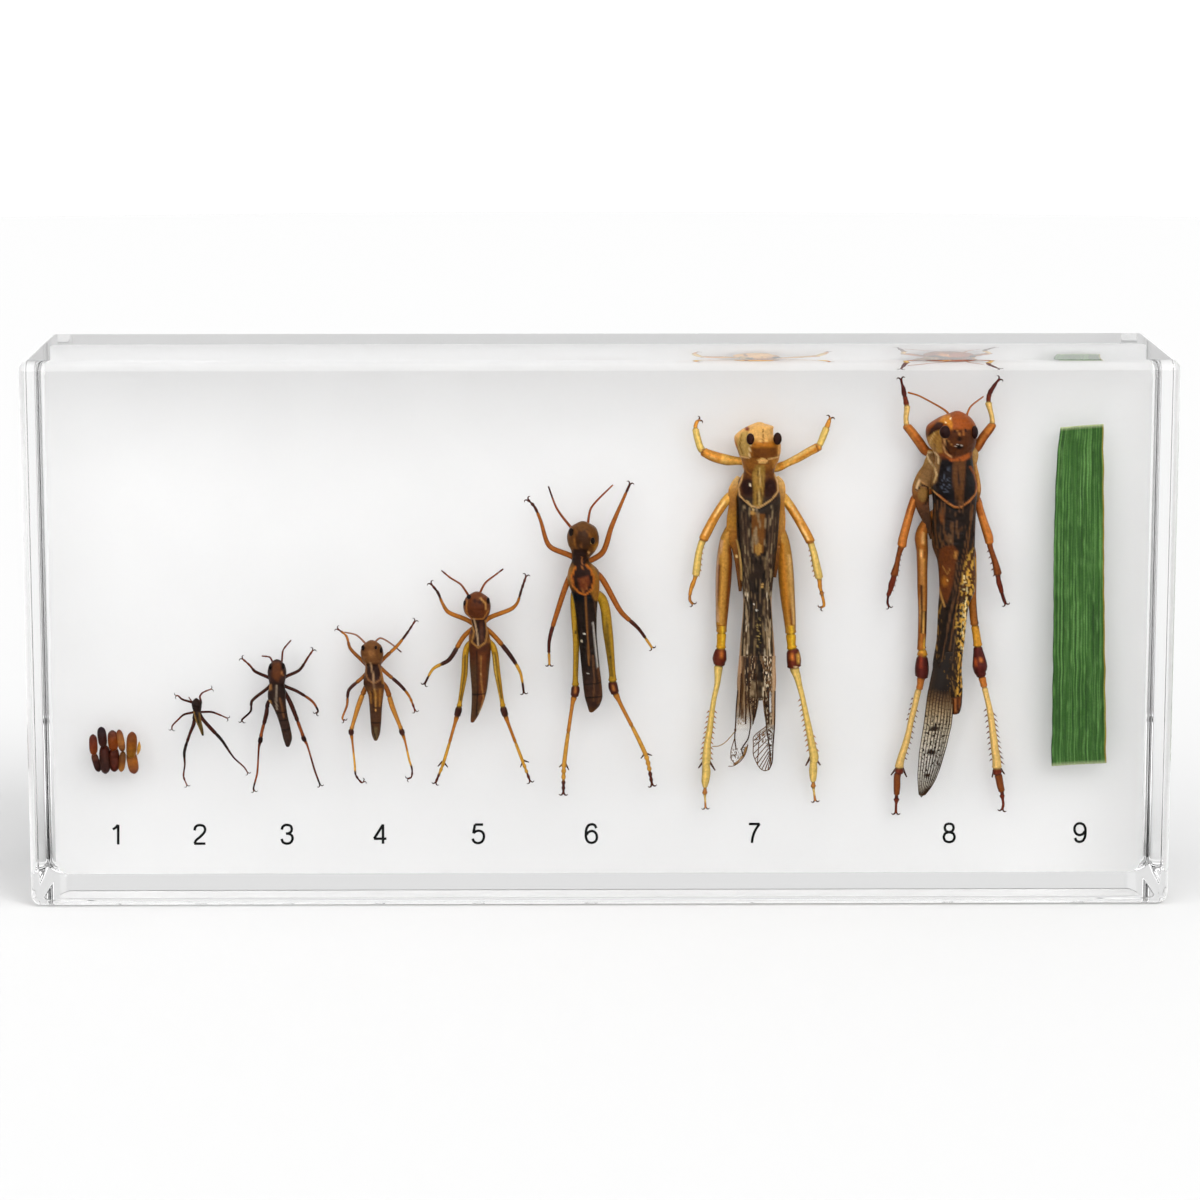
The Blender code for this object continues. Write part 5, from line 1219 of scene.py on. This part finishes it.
def egg_cluster(material):
    """Ten eggs in two rows, each with blunt ends, and the amber chip of shell beside them."""
    shape = bmesh.new()
    layer = shape.verts.layers.float_color.new("tone")
    for number, ((x0, y0), (x1, y1), width, tones) in enumerate(EGGS):
        rows = []
        for step in range(17):
            along = step / 16
            round_share = max(1.0 - abs(2.0 * along - 1.0) ** EGG_BLUNTNESS, 0.04) ** 0.5
            place = along * (len(tones) - 1)
            first = min(int(place), len(tones) - 2)
            ends = zip(tone(tones[first]), tone(tones[first + 1]))
            paint = [a + (b - a) * (place - first) for a, b in ends]
            deep = -EGG_DEPTH if number % 2 == 0 else EGG_DEPTH
            px = x0 + (x1 - x0) * along
            py = y0 + (y1 - y0) * along
            rows.append((px, py, width * EGG_HALF * round_share, deep, 0.95, *paint))
        add_shell(shape, layer, rows, 20, rough=0.06)
    nodes = [f"egg_{number + 1:02d}" for number in range(len(EGGS))]
    finish_piece("egg_cluster", shape, material, "egg", *nodes)
    shape = bmesh.new()
    layer = shape.verts.layers.float_color.new("tone")
    rows = []
    for step in range(9):
        along = step / 8
        px = CHIP_TOP[0] + (CHIP_FOOT[0] - CHIP_TOP[0]) * along
        py = CHIP_TOP[1] + (CHIP_FOOT[1] - CHIP_TOP[1]) * along
        wide = CHIP_HALF * math.sin(math.pi * min(max(along, 0.04), 0.96)) ** 0.8
        rows.append((px + wide * 0.35, py, wide, 0.0, 0.35, *tone("c8903c")))
    add_shell(shape, layer, rows, 12, rough=0.05)
    finish_piece("egg_shell_chip_flake", shape, material, "egg_chip", "egg_shell_chip")


def edge_at(points, py):
    """Where an edge, a list of (x, y) going down, lies at a height."""
    for (x0, y0), (x1, y1) in zip(points, points[1:]):
        if y0 <= py <= y1:
            return x0 + (x1 - x0) * (py - y0) / (y1 - y0 + 1e-9)
    return points[0][0] if py < points[0][1] else points[-1][0]


def cell_noise(column, row, seed):
    """A number from 0 to 1 for each cell of a wing's net, always the same."""
    return noise.cell(Vector((column * 1.37 + 0.5, row * 1.91 + 0.5, seed + 0.5))) * 0.5 + 0.5


def net_paint(px, py, across, width, net):
    """The colour of a wing's net: dark long veins, short cross veins, and pale cells between them."""
    veins, step, dark, cells, seed = net
    colour = height_tone(cells, py)
    if not veins:
        return colour
    place = across * veins + noise.noise((px * 0.05, py * 0.04, seed)) * 0.35
    column = math.floor(place)
    from_vein = abs(place - round(place)) * width / veins
    row_place = py / step + cell_noise(column, 0.0, seed) + noise.noise((px * 0.1, py * 0.1, seed)) * 0.4
    from_cross = abs(row_place - round(row_place)) * step
    weight = 0.33 + 0.15 * noise.noise((px * 0.09, py * 0.07, seed + 5.0))
    vein = min(max(1.4 - from_vein / weight, 0.0), 1.0)
    crossing = min(max(1.2 - from_cross / weight, 0.0), 1.0) * 0.85
    share = max(vein, crossing)
    return [a + (b - a) * share for a, b in zip(colour, tone(dark))]


def close_sheet(shape, grid):
    """The faces of a thin sheet from its front and back rows of points, closed all round its rim."""
    count = len(grid[0]) - 1
    columns = len(grid[0][0]) - 1
    for rows in grid:
        for upper, lower in zip(rows, rows[1:]):
            for column in range(columns):
                shape.faces.new((upper[column], lower[column], lower[column + 1], upper[column + 1]))
    front, back = grid
    rim = [(row, 0) for row in range(count)]
    rim += [(count, column) for column in range(columns)]
    rim += [(row, columns) for row in range(count, 0, -1)]
    rim += [(0, column) for column in range(columns, 0, -1)]
    for (row, column), (next_row, next_column) in zip(rim, rim[1:] + rim[:1]):
        a, b = front[row][column], front[next_row][next_column]
        c, d = back[next_row][next_column], back[row][column]
        shape.faces.new((a, b, c, d))


def wing_sheet(name, left, right, net, depth, marks, material, slot, node, columns=64, row_step=0.7):
    """A thin wing between two edges of the front view, with its net of veins standing out in low relief."""
    shape = bmesh.new()
    layer = shape.verts.layers.float_color.new("tone")
    ready = prepared(marks)
    top = max(left[0][1], right[0][1])
    foot = min(left[-1][1], right[-1][1])
    count = round((foot - top) / row_step)
    deep_top, deep_foot, crown = depth
    grid = []
    for face in (-1.0, 1.0):
        rows = []
        for number in range(count + 1):
            py = top + (foot - top) * number / count
            x0 = edge_at(left, py)
            x1 = edge_at(right, py)
            line = []
            for column in range(columns + 1):
                across = column / columns
                px = x0 + (x1 - x0) * across
                paint = net_paint(px, py, across, x1 - x0, net)
                paint, push = painted(px, py, paint, ready)
                bow = math.sin(math.pi * across)
                deep = deep_top + (deep_foot - deep_top) * number / count - crown * bow
                wave = noise.noise((px * 0.12, py * 0.05, 2.0)) * FILM_RIPPLE
                thick = face * (FILM_RIM + FILM_MIDDLE * paint[3] * bow)
                vertex = shape.verts.new(on_sheet(px, py, (deep + wave + thick - push) * MM))
                vertex[layer] = paint
                line.append(vertex)
            rows.append(line)
        grid.append(rows)
    close_sheet(shape, grid)
    return finish_piece(name, shape, material, slot, node)


def leaf_edges(py):
    """The leaf's left and right edges at a height, between the rows that were read."""
    for (y0, l0, r0), (y1, l1, r1) in zip(LEAF_ROWS, LEAF_ROWS[1:]):
        if y0 <= py <= y1:
            share = (py - y0) / (y1 - y0)
            return l0 + (l1 - l0) * share, r0 + (r1 - r0) * share
    return LEAF_ROWS[-1][1:]


def leaf_ribs(across):
    """How far the leaf's surface stands up between its long veins, from 0 to 1."""
    return abs(math.sin(math.pi * LEAF_VEINS * across))


def leaf_blade(material):
    """A cut piece of grass blade, ribbed along its veins, gently waved and blistered."""
    shape = bmesh.new()
    layer = shape.verts.layers.float_color.new("tone")
    columns = LEAF_VEINS * 6
    count = 170
    grid = []
    for face in (-1.0, 1.0):
        rows = []
        for number in range(count + 1):
            along = number / count
            line = []
            for column in range(columns + 1):
                across = column / columns
                slant_top = LEAF_TOP[0] + (LEAF_TOP[1] - LEAF_TOP[0]) * across
                slant_foot = LEAF_FOOT[0] + (LEAF_FOOT[1] - LEAF_FOOT[0]) * across
                py = slant_top + (slant_foot - slant_top) * along
                x0, x1 = leaf_edges(min(max(py, LEAF_ROWS[0][0]), LEAF_ROWS[-1][0]))
                px = x0 + (x1 - x0) * across + noise.noise((0.0, py * 0.05, 5.0)) * 0.8
                rib = leaf_ribs(across)
                wave = LEAF_WAVE * math.sin(7.0 * along + 2.0 * across) * math.sin(3.0 * across + 0.6)
                blister = max(noise.noise((px * 0.22, py * 0.07, 8.0)), 0.0)
                streak = noise.noise((across * 34.0, py * 0.012, 1.0))
                deep = wave - LEAF_RIB * rib - LEAF_BLISTER * blister + face * LEAF_HALF
                colour = list(tone(LEAF_TONES[0]))
                for code, share in (
                    (LEAF_TONES[1], min(max(streak * 1.6, 0.0), 1.0) * 0.8),
                    (LEAF_TONES[2], min(max(-streak * 1.6, 0.0), 1.0) * 0.8),
                    (LEAF_TONES[1], min(blister * 1.5, 1.0) * rib * 0.55),
                    (LEAF_TONES[2], (1.0 - rib) ** 3 * 0.6),
                    (LEAF_TONES[3], min(max((across - 0.965) / 0.02, 0.0), 1.0) * 0.75),
                    (LEAF_TONES[4], max(1.0 - min(along, 1.0 - along) * count / 1.5, 0.0) * 0.8),
                ):
                    colour = [old + (new - old) * share for old, new in zip(colour, tone(code))]
                vertex = shape.verts.new(on_sheet(px, py, deep * MM))
                vertex[layer] = colour
                line.append(vertex)
            rows.append(line)
        grid.append(rows)
    close_sheet(shape, grid)
    return finish_piece("grass_blade", shape, material, "leaf", "leaf_blade")


def numerals(tree, ink):
    """The numbers 1 to 9, printed in black in front of the backing, one under each specimen."""
    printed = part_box("white_backing")[0].y - INK_LIFT
    lines = []
    for px, figure in NUMERALS:
        for stroke in FIGURES[figure]:
            rows = smooth_rows(stroke, 0.8) if len(stroke) > 2 else stroke
            lines.append([(on_backing(px + x, NUMERAL_MIDDLE + y, printed), 1.0) for x, y in rows])
    values = {"Thickness": NUMERAL_STROKE, "Sides": 8, "Finish": ink, "Colour": (0.0, 0.0, 0.0, 1.0)}
    piece = grown_piece("numerals", lines, tree, values, "backing")
    for vertex in piece.data.vertices:
        vertex.co.y = printed + (vertex.co.y - printed) * INK_THICKNESS
    return piece


def tone_reader(nodes, links, grain_scale, low, high):
    """The piece's own colours, with a fine grain laid over them in shade."""
    colours = nodes.new("ShaderNodeAttribute")
    colours.attribute_name = "tone"
    coordinates = nodes.new("ShaderNodeTexCoord")
    grain = nodes.new("ShaderNodeTexNoise")
    set_values(grain, {"Scale": grain_scale, "Detail": 5.0, "Roughness": 0.65})
    links.new(coordinates.outputs["Object"], grain.inputs["Vector"])
    shade = nodes.new("ShaderNodeMapRange")
    set_values(shade, {"From Min": 0.3, "From Max": 0.7, "To Min": low, "To Max": high})
    links.new(grain.outputs["Fac"], shade.inputs["Value"])
    mixed = nodes.new("ShaderNodeVectorMath")
    mixed.operation = "SCALE"
    links.new(colours.outputs["Color"], mixed.inputs[0])
    links.new(shade.outputs["Result"], mixed.inputs["Scale"])
    return colours, grain, mixed


def grained_material(name, grain_scale, shades, relief, finish):
    """The piece's own colours, faintly mottled, with a grain in low relief."""
    material, nodes, links = new_material(name)
    shader = nodes["Principled BSDF"]
    _, grain, mixed = tone_reader(nodes, links, grain_scale, *shades)
    links.new(mixed.outputs["Vector"], shader.inputs["Base Color"])
    bump = nodes.new("ShaderNodeBump")
    set_values(bump, {"Strength": relief[0], "Distance": relief[1]})
    links.new(grain.outputs["Fac"], bump.inputs["Height"])
    links.new(bump.outputs["Normal"], shader.inputs["Normal"])
    set_values(shader, {"Roughness": finish[0], "Specular IOR Level": finish[1]})
    return material


def dried_shell_material(name, grain_scale, bump_depth):
    """Dried insect shell: amber to near black, with a dull gloss."""
    return grained_material(name, grain_scale, (0.72, 1.25), (0.5, bump_depth), (0.35, 0.1))


def wing_film_material():
    """Wing film: clear between its veins, and solid where the veins and blotches are."""
    material, nodes, links = new_material("wing_film")
    shader = nodes["Principled BSDF"]
    colours, _, mixed = tone_reader(nodes, links, 5200.0, 0.8, 1.2)
    links.new(mixed.outputs["Vector"], shader.inputs["Base Color"])
    links.new(colours.outputs["Alpha"], shader.inputs["Alpha"])
    set_values(shader, {"Roughness": 0.4, "Specular IOR Level": 0.2})
    return material


def grass_material():
    """Dried grass: a finer and shallower grain than the shells."""
    return grained_material("dried_grass", 3800.0, (0.8, 1.2), (0.4, 0.03 * MM), (0.5, 0.25))


def print_material():
    """Black ink, a little uneven in shade."""
    material, nodes, links = new_material("black_ink")
    shader = nodes["Principled BSDF"]
    coordinates = nodes.new("ShaderNodeTexCoord")
    speckle = nodes.new("ShaderNodeTexNoise")
    speckle.inputs["Scale"].default_value = 3000.0
    shade = nodes.new("ShaderNodeMapRange")
    set_values(shade, {"To Min": 0.004, "To Max": 0.012})
    links.new(coordinates.outputs["Object"], speckle.inputs["Vector"])
    links.new(speckle.outputs["Fac"], shade.inputs["Value"])
    links.new(shade.outputs["Result"], shader.inputs["Base Color"])
    set_values(shader, {"Roughness": 0.7, "Specular IOR Level": 0.1})
    return material


def node_tree(name, sizes):
    """A Geometry Nodes tree with lines going in, named inputs, and a shape coming out."""
    tree = bpy.data.node_groups.new(name, "GeometryNodeTree")
    tree.interface.new_socket("Lines", in_out="INPUT", socket_type="NodeSocketGeometry")
    for size_name, kind in (*sizes, ("Colour", "Color"), ("Finish", "Material")):
        tree.interface.new_socket(size_name, in_out="INPUT", socket_type="NodeSocket" + kind)
    tree.interface.new_socket("Shape", in_out="OUTPUT", socket_type="NodeSocketGeometry")
    start = tree.nodes.new("NodeGroupInput")
    end = tree.nodes.new("NodeGroupOutput")
    return tree, start, end


def end_tree(tree, start, end, made):
    """The last steps of a tree: real geometry in place of instances, its colour, and its material."""
    real = tree.nodes.new("GeometryNodeRealizeInstances")
    colour = tree.nodes.new("GeometryNodeStoreNamedAttribute")
    colour.data_type = "FLOAT_COLOR"
    colour.domain = "POINT"
    colour.inputs["Name"].default_value = "tone"
    finish = tree.nodes.new("GeometryNodeSetMaterial")
    tree.links.new(made, real.inputs["Geometry"])
    tree.links.new(real.outputs["Geometry"], colour.inputs["Geometry"])
    tree.links.new(start.outputs["Colour"], colour.inputs["Value"])
    tree.links.new(colour.outputs["Geometry"], finish.inputs["Geometry"])
    tree.links.new(start.outputs["Finish"], finish.inputs["Material"])
    tree.links.new(finish.outputs["Geometry"], end.inputs["Shape"])


def thread_tree():
    """Round threads along lines, as thick as each line's own radius says."""
    tree, start, end = node_tree("threads_along_lines", (("Thickness", "Float"), ("Sides", "Int")))
    sweep = tree.nodes.new("GeometryNodeCurveToMesh")
    ring = tree.nodes.new("GeometryNodeCurvePrimitiveCircle")
    sweep.inputs["Fill Caps"].default_value = True
    tree.links.new(start.outputs["Lines"], sweep.inputs["Curve"])
    tree.links.new(start.outputs["Thickness"], ring.inputs["Radius"])
    tree.links.new(start.outputs["Sides"], ring.inputs["Resolution"])
    tree.links.new(ring.outputs["Curve"], sweep.inputs["Profile Curve"])
    end_tree(tree, start, end, sweep.outputs["Mesh"])
    return tree


def spine_tree():
    """A row of short cones along lines, all leaning the same way."""
    sizes = (("Spacing", "Float"), ("Length", "Float"), ("Width", "Float"), ("Lean", "Vector"))
    tree, start, end = node_tree("rows_of_spines", sizes)
    points = tree.nodes.new("GeometryNodeCurveToPoints")
    points.mode = "LENGTH"
    cone = tree.nodes.new("GeometryNodeMeshCone")
    set_values(cone, {"Vertices": 6, "Radius Top": 0.01 * MM})
    place = tree.nodes.new("GeometryNodeInstanceOnPoints")
    aim = tree.nodes.new("FunctionNodeAlignRotationToVector")
    aim.axis = "Z"
    tree.links.new(start.outputs["Lines"], points.inputs["Curve"])
    tree.links.new(start.outputs["Spacing"], points.inputs["Length"])
    tree.links.new(start.outputs["Length"], cone.inputs["Depth"])
    tree.links.new(start.outputs["Width"], cone.inputs["Radius Bottom"])
    tree.links.new(points.outputs["Points"], place.inputs["Points"])
    tree.links.new(cone.outputs["Mesh"], place.inputs["Instance"])
    tree.links.new(start.outputs["Lean"], aim.inputs["Vector"])
    tree.links.new(aim.outputs["Rotation"], place.inputs["Rotation"])
    end_tree(tree, start, end, place.outputs["Instances"])
    return tree


def set_inputs(modifier, values):
    """Gives a tree its inputs by their sockets' identifiers."""
    for item in modifier.node_group.interface.items_tree:
        if item.item_type == "SOCKET" and item.in_out == "INPUT" and item.name in values:
            modifier[item.identifier] = values[item.name]


def grown_piece(name, lines, tree, values, slot, node=None):
    """A piece grown by a tree from lines. Each line is a list of places with radii."""
    curve = bpy.data.curves.new(name, "CURVE")
    curve.dimensions = "3D"
    for line in lines:
        spline = curve.splines.new("POLY")
        spline.points.add(len(line) - 1)
        for point, (place, radius) in zip(spline.points, line):
            point.co = (*place, 1.0)
            point.radius = radius
    holder = bpy.data.objects.new(name + "_lines", curve)
    bpy.context.scene.collection.objects.link(holder)
    modifier = holder.modifiers.new("growth", "NODES")
    modifier.node_group = tree
    set_inputs(modifier, values)
    graph = bpy.context.evaluated_depsgraph_get()
    mesh = bpy.data.meshes.new_from_object(holder.evaluated_get(graph))
    holder.modifiers.remove(modifier)
    bpy.data.objects.remove(holder, do_unlink=True)
    mesh.name = name
    mesh.shade_smooth()
    piece = place_piece(name, mesh)
    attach(piece, "root")
    if node:
        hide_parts(node)
    return piece


def leg_root(body, points):
    """Where a limb starts: behind its first bend, in the middle of the body."""
    (_, y0, half), (_, y1, *_) = points[:2]
    height = y0 + min(max(y0 - y1, -12.0), 12.0)
    return (body_middle(body, height), height, half)


def height_tone(steps, py):
    """A colour that changes with height, from a list of (height, colour)."""
    for (y0, upper), (y1, lower) in zip(steps, steps[1:]):
        if y0 <= py <= y1:
            share = (py - y0) / (y1 - y0)
            return [a + (b - a) * share for a, b in zip(tone(upper), tone(lower))]
    return list(tone(steps[0][1] if py < steps[0][0] else steps[-1][1]))


def thread_line(points, deep, thick=1.0):
    """A smooth line through pixels of the front view, at the depth that the wings have there."""
    rows = smooth_rows(points, 1.2) if len(points) > 2 else points
    deep_top, deep_foot = deep
    line = []
    for px, py in rows:
        deeper = deep_top + (deep_foot - deep_top) * (py - WING_TOP) / (WING_FOOT - WING_TOP)
        line.append((on_sheet(px, py, deeper * MM), thick))
    return line


def spines(name, plan, rows, tree, finish, slot):
    """Short spines down the shins. A row is a limb's number, its side, the heights it spans, and a length."""
    for number, (limb, side, top, foot, length) in enumerate(rows):
        centre = smooth_rows(plan["limbs"][limb], 1.0)
        line = []
        for (x0, y0, half), (x1, y1, *_) in zip(centre, centre[1:]):
            if top <= y0 <= foot:
                away = side * half * 0.95 * abs(y1 - y0) / (math.dist((x0, y0), (x1, y1)) or 1.0)
                line.append((on_sheet(x0 + away, y0, SPINE_DEPTH), 1.0))
        values = {
            "Spacing": SPINE_SPACING * PIXEL,
            "Length": length * SPINE_STRETCH * PIXEL,
            "Width": SPINE_WIDTH * PIXEL,
            "Lean": (side * SPINE_LEAN[0], 0.0, SPINE_LEAN[1]),
            "Colour": tone(plan["palette"]["b"]),
            "Finish": finish,
        }
        grown_piece(f"{name}_spines_{number + 1}", [line], tree, values, slot, plan["node"])


def clear_resin_material():
    """Clear casting resin, polished all over."""
    material, nodes, _ = new_material("clear_casting_resin")
    shader = nodes["Principled BSDF"]
    set_values(shader, {
        "Base Color": (1.0, 1.0, 1.0, 1.0), "Roughness": 0.0, "IOR": RESIN_IOR, "Transmission Weight": 1.0,
    })
    return material


def backing_material():
    """Matt white sheet, very faintly mottled."""
    material, nodes, links = new_material("white_backing_sheet")
    shader = nodes["Principled BSDF"]
    coordinates = nodes.new("ShaderNodeTexCoord")
    mottle = nodes.new("ShaderNodeTexNoise")
    set_values(mottle, {"Scale": 90.0, "Detail": 3.0})
    shade = nodes.new("ShaderNodeMapRange")
    set_values(shade, {"To Min": 0.86, "To Max": 0.9})
    links.new(coordinates.outputs["Object"], mottle.inputs["Vector"])
    links.new(mottle.outputs["Fac"], shade.inputs["Value"])
    links.new(shade.outputs["Result"], shader.inputs["Base Color"])
    set_values(shader, {"Roughness": 0.6, "Specular IOR Level": 0.2})
    return material


def clear_block(resin):
    """The casting in one piece, with rounded and polished edges, all round the backing plate."""
    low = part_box("resin_front")[0]
    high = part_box("resin_back")[1]
    shape = bmesh.new()
    bmesh.ops.create_cube(shape, size=1.0)
    bmesh.ops.scale(shape, vec=high - low, verts=shape.verts)
    bmesh.ops.translate(shape, vec=(high + low) / 2, verts=shape.verts)
    mesh = bpy.data.meshes.new("clear_block")
    shape.to_mesh(mesh)
    shape.free()
    block = place_piece("clear_block", mesh, resin)
    mesh.shade_smooth()
    bevel = block.modifiers.new("rounded edges", "BEVEL")
    bevel.width = EDGE_ROUND
    bevel.segments = EDGE_SEGMENTS
    bevel.limit_method = "NONE"
    bevel.harden_normals = True
    graph = bpy.context.evaluated_depsgraph_get()
    finished = bpy.data.meshes.new_from_object(block.evaluated_get(graph))
    block.modifiers.clear()
    block.data = finished
    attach(block, "root")
    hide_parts("resin_front", "resin_middle", "resin_back")
    return block


def camera():
    data = bpy.data.cameras.new("camera")
    data.lens = CAMERA_LENS
    data.sensor_width = 36.0
    data.clip_start = 0.02
    data.clip_end = 50.0
    item = bpy.data.objects.new("camera", data)
    item.location = CAMERA_PLACE
    item.rotation_euler = (math.radians(90 - CAMERA_DIP), 0.0, math.radians(CAMERA_TURN))
    bpy.context.scene.collection.objects.link(item)
    bpy.context.scene.camera = item


def key_light():
    """Broad soft light from the upper right, in front, so that shadows fall to the lower left."""
    data = bpy.data.lights.new("key_light", "SUN")
    data.energy = KEY_STRENGTH
    data.angle = math.radians(KEY_SPREAD)
    item = bpy.data.objects.new("key_light", data)
    item.rotation_euler = Vector(KEY_FROM).to_track_quat("Z", "Y").to_euler()
    bpy.context.scene.collection.objects.link(item)


def ramp(nodes, links, value, start, end, low, high):
    """A value that goes evenly from low to high as another goes from start to end, and stays there."""
    step = nodes.new("ShaderNodeMapRange")
    set_values(step, {"From Min": start, "From Max": end})
    for name, level in (("To Min", low), ("To Max", high)):
        if isinstance(level, float):
            step.inputs[name].default_value = level
        else:
            links.new(level, step.inputs[name])
    links.new(value, step.inputs["Value"])
    return step.outputs["Result"]


def room_light():
    """A soft white room: brightest in front, dimmer above the back, and dark low in front, where the
    block's front face would mirror it."""
    world = bpy.data.worlds.new("studio")
    bpy.context.scene.world = world
    world.use_nodes = True
    nodes = world.node_tree.nodes
    links = world.node_tree.links
    direction = nodes.new("ShaderNodeTexCoord")
    parts = nodes.new("ShaderNodeSeparateXYZ")
    links.new(direction.outputs["Generated"], parts.inputs["Vector"])
    below = ramp(nodes, links, parts.outputs["Y"], -0.1, 0.2, 0.0, ROOM_HORIZON)
    above = ramp(nodes, links, parts.outputs["Y"], -0.3, 0.3, ROOM_FRONT, ROOM_BACK)
    bright = ramp(nodes, links, parts.outputs["Z"], -0.01, 0.06, below, above)
    links.new(bright, nodes["Background"].inputs["Strength"])
    nodes["Background"].inputs["Color"].default_value = (1.0, 1.0, 1.0, 1.0)


def studio():
    room_light()
    key_light()
    shape = bmesh.new()
    bmesh.ops.create_circle(shape, cap_ends=True, segments=96, radius=FLOOR_RADIUS)
    bmesh.ops.translate(shape, vec=(0.0, 0.0, -FLOOR_DROP), verts=shape.verts)
    mesh = bpy.data.meshes.new("floor")
    shape.to_mesh(mesh)
    shape.free()
    material, nodes, _ = new_material("studio_floor")
    nodes["Principled BSDF"].inputs["Base Color"].default_value = (FLOOR_TONE, FLOOR_TONE, FLOOR_TONE, 1.0)
    nodes["Principled BSDF"].inputs["Roughness"].default_value = 0.8
    nodes["Principled BSDF"].inputs["Specular IOR Level"].default_value = 0.1
    floor = place_piece("floor", mesh, material)
    floor.visible_glossy = False
    bpy.context.scene.view_settings.view_transform = "Standard"


def main():
    camera()
    studio()
    clear_block(clear_resin_material())
    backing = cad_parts["white_backing"]
    backing.data.materials.clear()
    backing.data.materials.append(backing_material())
    threads = thread_tree()
    spikes = spine_tree()
    numerals(threads, print_material())
    shell = dried_shell_material("dried_shell", 2600.0, 0.05 * MM)
    film = wing_film_material()
    egg_cluster(dried_shell_material("egg_shell", 2000.0, 0.04 * MM))
    nymph_small = (NYMPH_REACH, NYMPH_THICKNESS, 0.7, 32, 10)
    nymph_large = (NYMPH_REACH, NYMPH_THICKNESS, 0.9, 44, 12)
    adult = (ADULT_REACH, ADULT_THICKNESS, 1.0, 72, 14)
    insect("nymph_1_body", NYMPH_1, nymph_small, shell, "nymph_dark")
    insect("nymph_2_body", NYMPH_2, nymph_small, shell, "nymph_dark")
    insect("nymph_3_body", NYMPH_3, nymph_small, shell, "nymph_brown")
    insect("nymph_4_body", NYMPH_4, nymph_large, shell, "nymph_amber")
    insect("nymph_5_body", NYMPH_5, nymph_large, shell, "nymph_amber")
    insect("pale_adult_body", ADULT_PALE, adult, shell, "adult_tan")
    insect("dark_adult_body", ADULT_DARK, adult, shell, "adult_brown")
    wings(film, shell, threads)
    spines("pale_adult", ADULT_PALE, PALE_SPINES, spikes, shell, "adult_tan")
    spines("dark_adult", ADULT_DARK, DARK_SPINES, spikes, shell, "adult_brown")
    leaf_blade(grass_material())


def wings(film, shell, threads):
    """The wing ends that reach past the bodies, with their edges and main veins."""
    pale = ("adult_tan", "adult_pale")
    dark = ("adult_brown", "adult_dark")
    left = (*PALE_LEFT_WING, PALE_LEFT_NET, PALE_WING_DEPTH, PALE_LEFT_MARKS)
    right = (*PALE_RIGHT_WING, PALE_RIGHT_NET, PALE_WING_DEPTH, PALE_RIGHT_MARKS)
    wing_sheet("pale_adult_left_wing", *left, film, *pale)
    wing_sheet("pale_adult_right_wing", *right, film, *pale)
    wing_sheet("dark_adult_wing", *DARK_WING, DARK_NET, DARK_WING_DEPTH, DARK_WING_MARKS, film, *dark)
    for number, (code, thick, deep, lines) in enumerate(PALE_VEINS):
        values = {"Thickness": thick * MM, "Sides": 6, "Colour": tone(code), "Finish": shell}
        grown = [thread_line(points, deep) for points in lines]
        grown_piece(f"pale_adult_veins_{number + 1}", grown, threads, values, *pale)
    edges = []
    left, right = DARK_WING
    for share in DARK_VEIN_SHARES:
        points = []
        for py in DARK_VEIN_HEIGHTS:
            x0 = edge_at(left, py)
            points.append((x0 + (edge_at(right, py) - x0) * share, py))
        bow = DARK_WING_DEPTH[2] * math.sin(math.pi * share)
        deep = [depth - bow for depth in DARK_VEIN_DEPTH]
        edges.append(thread_line(points, deep))
    values = {"Thickness": DARK_VEIN_THICKNESS, "Sides": 6, "Colour": tone("3c2412"), "Finish": shell}
    grown_piece("dark_adult_veins", edges, threads, values, *dark)


main()
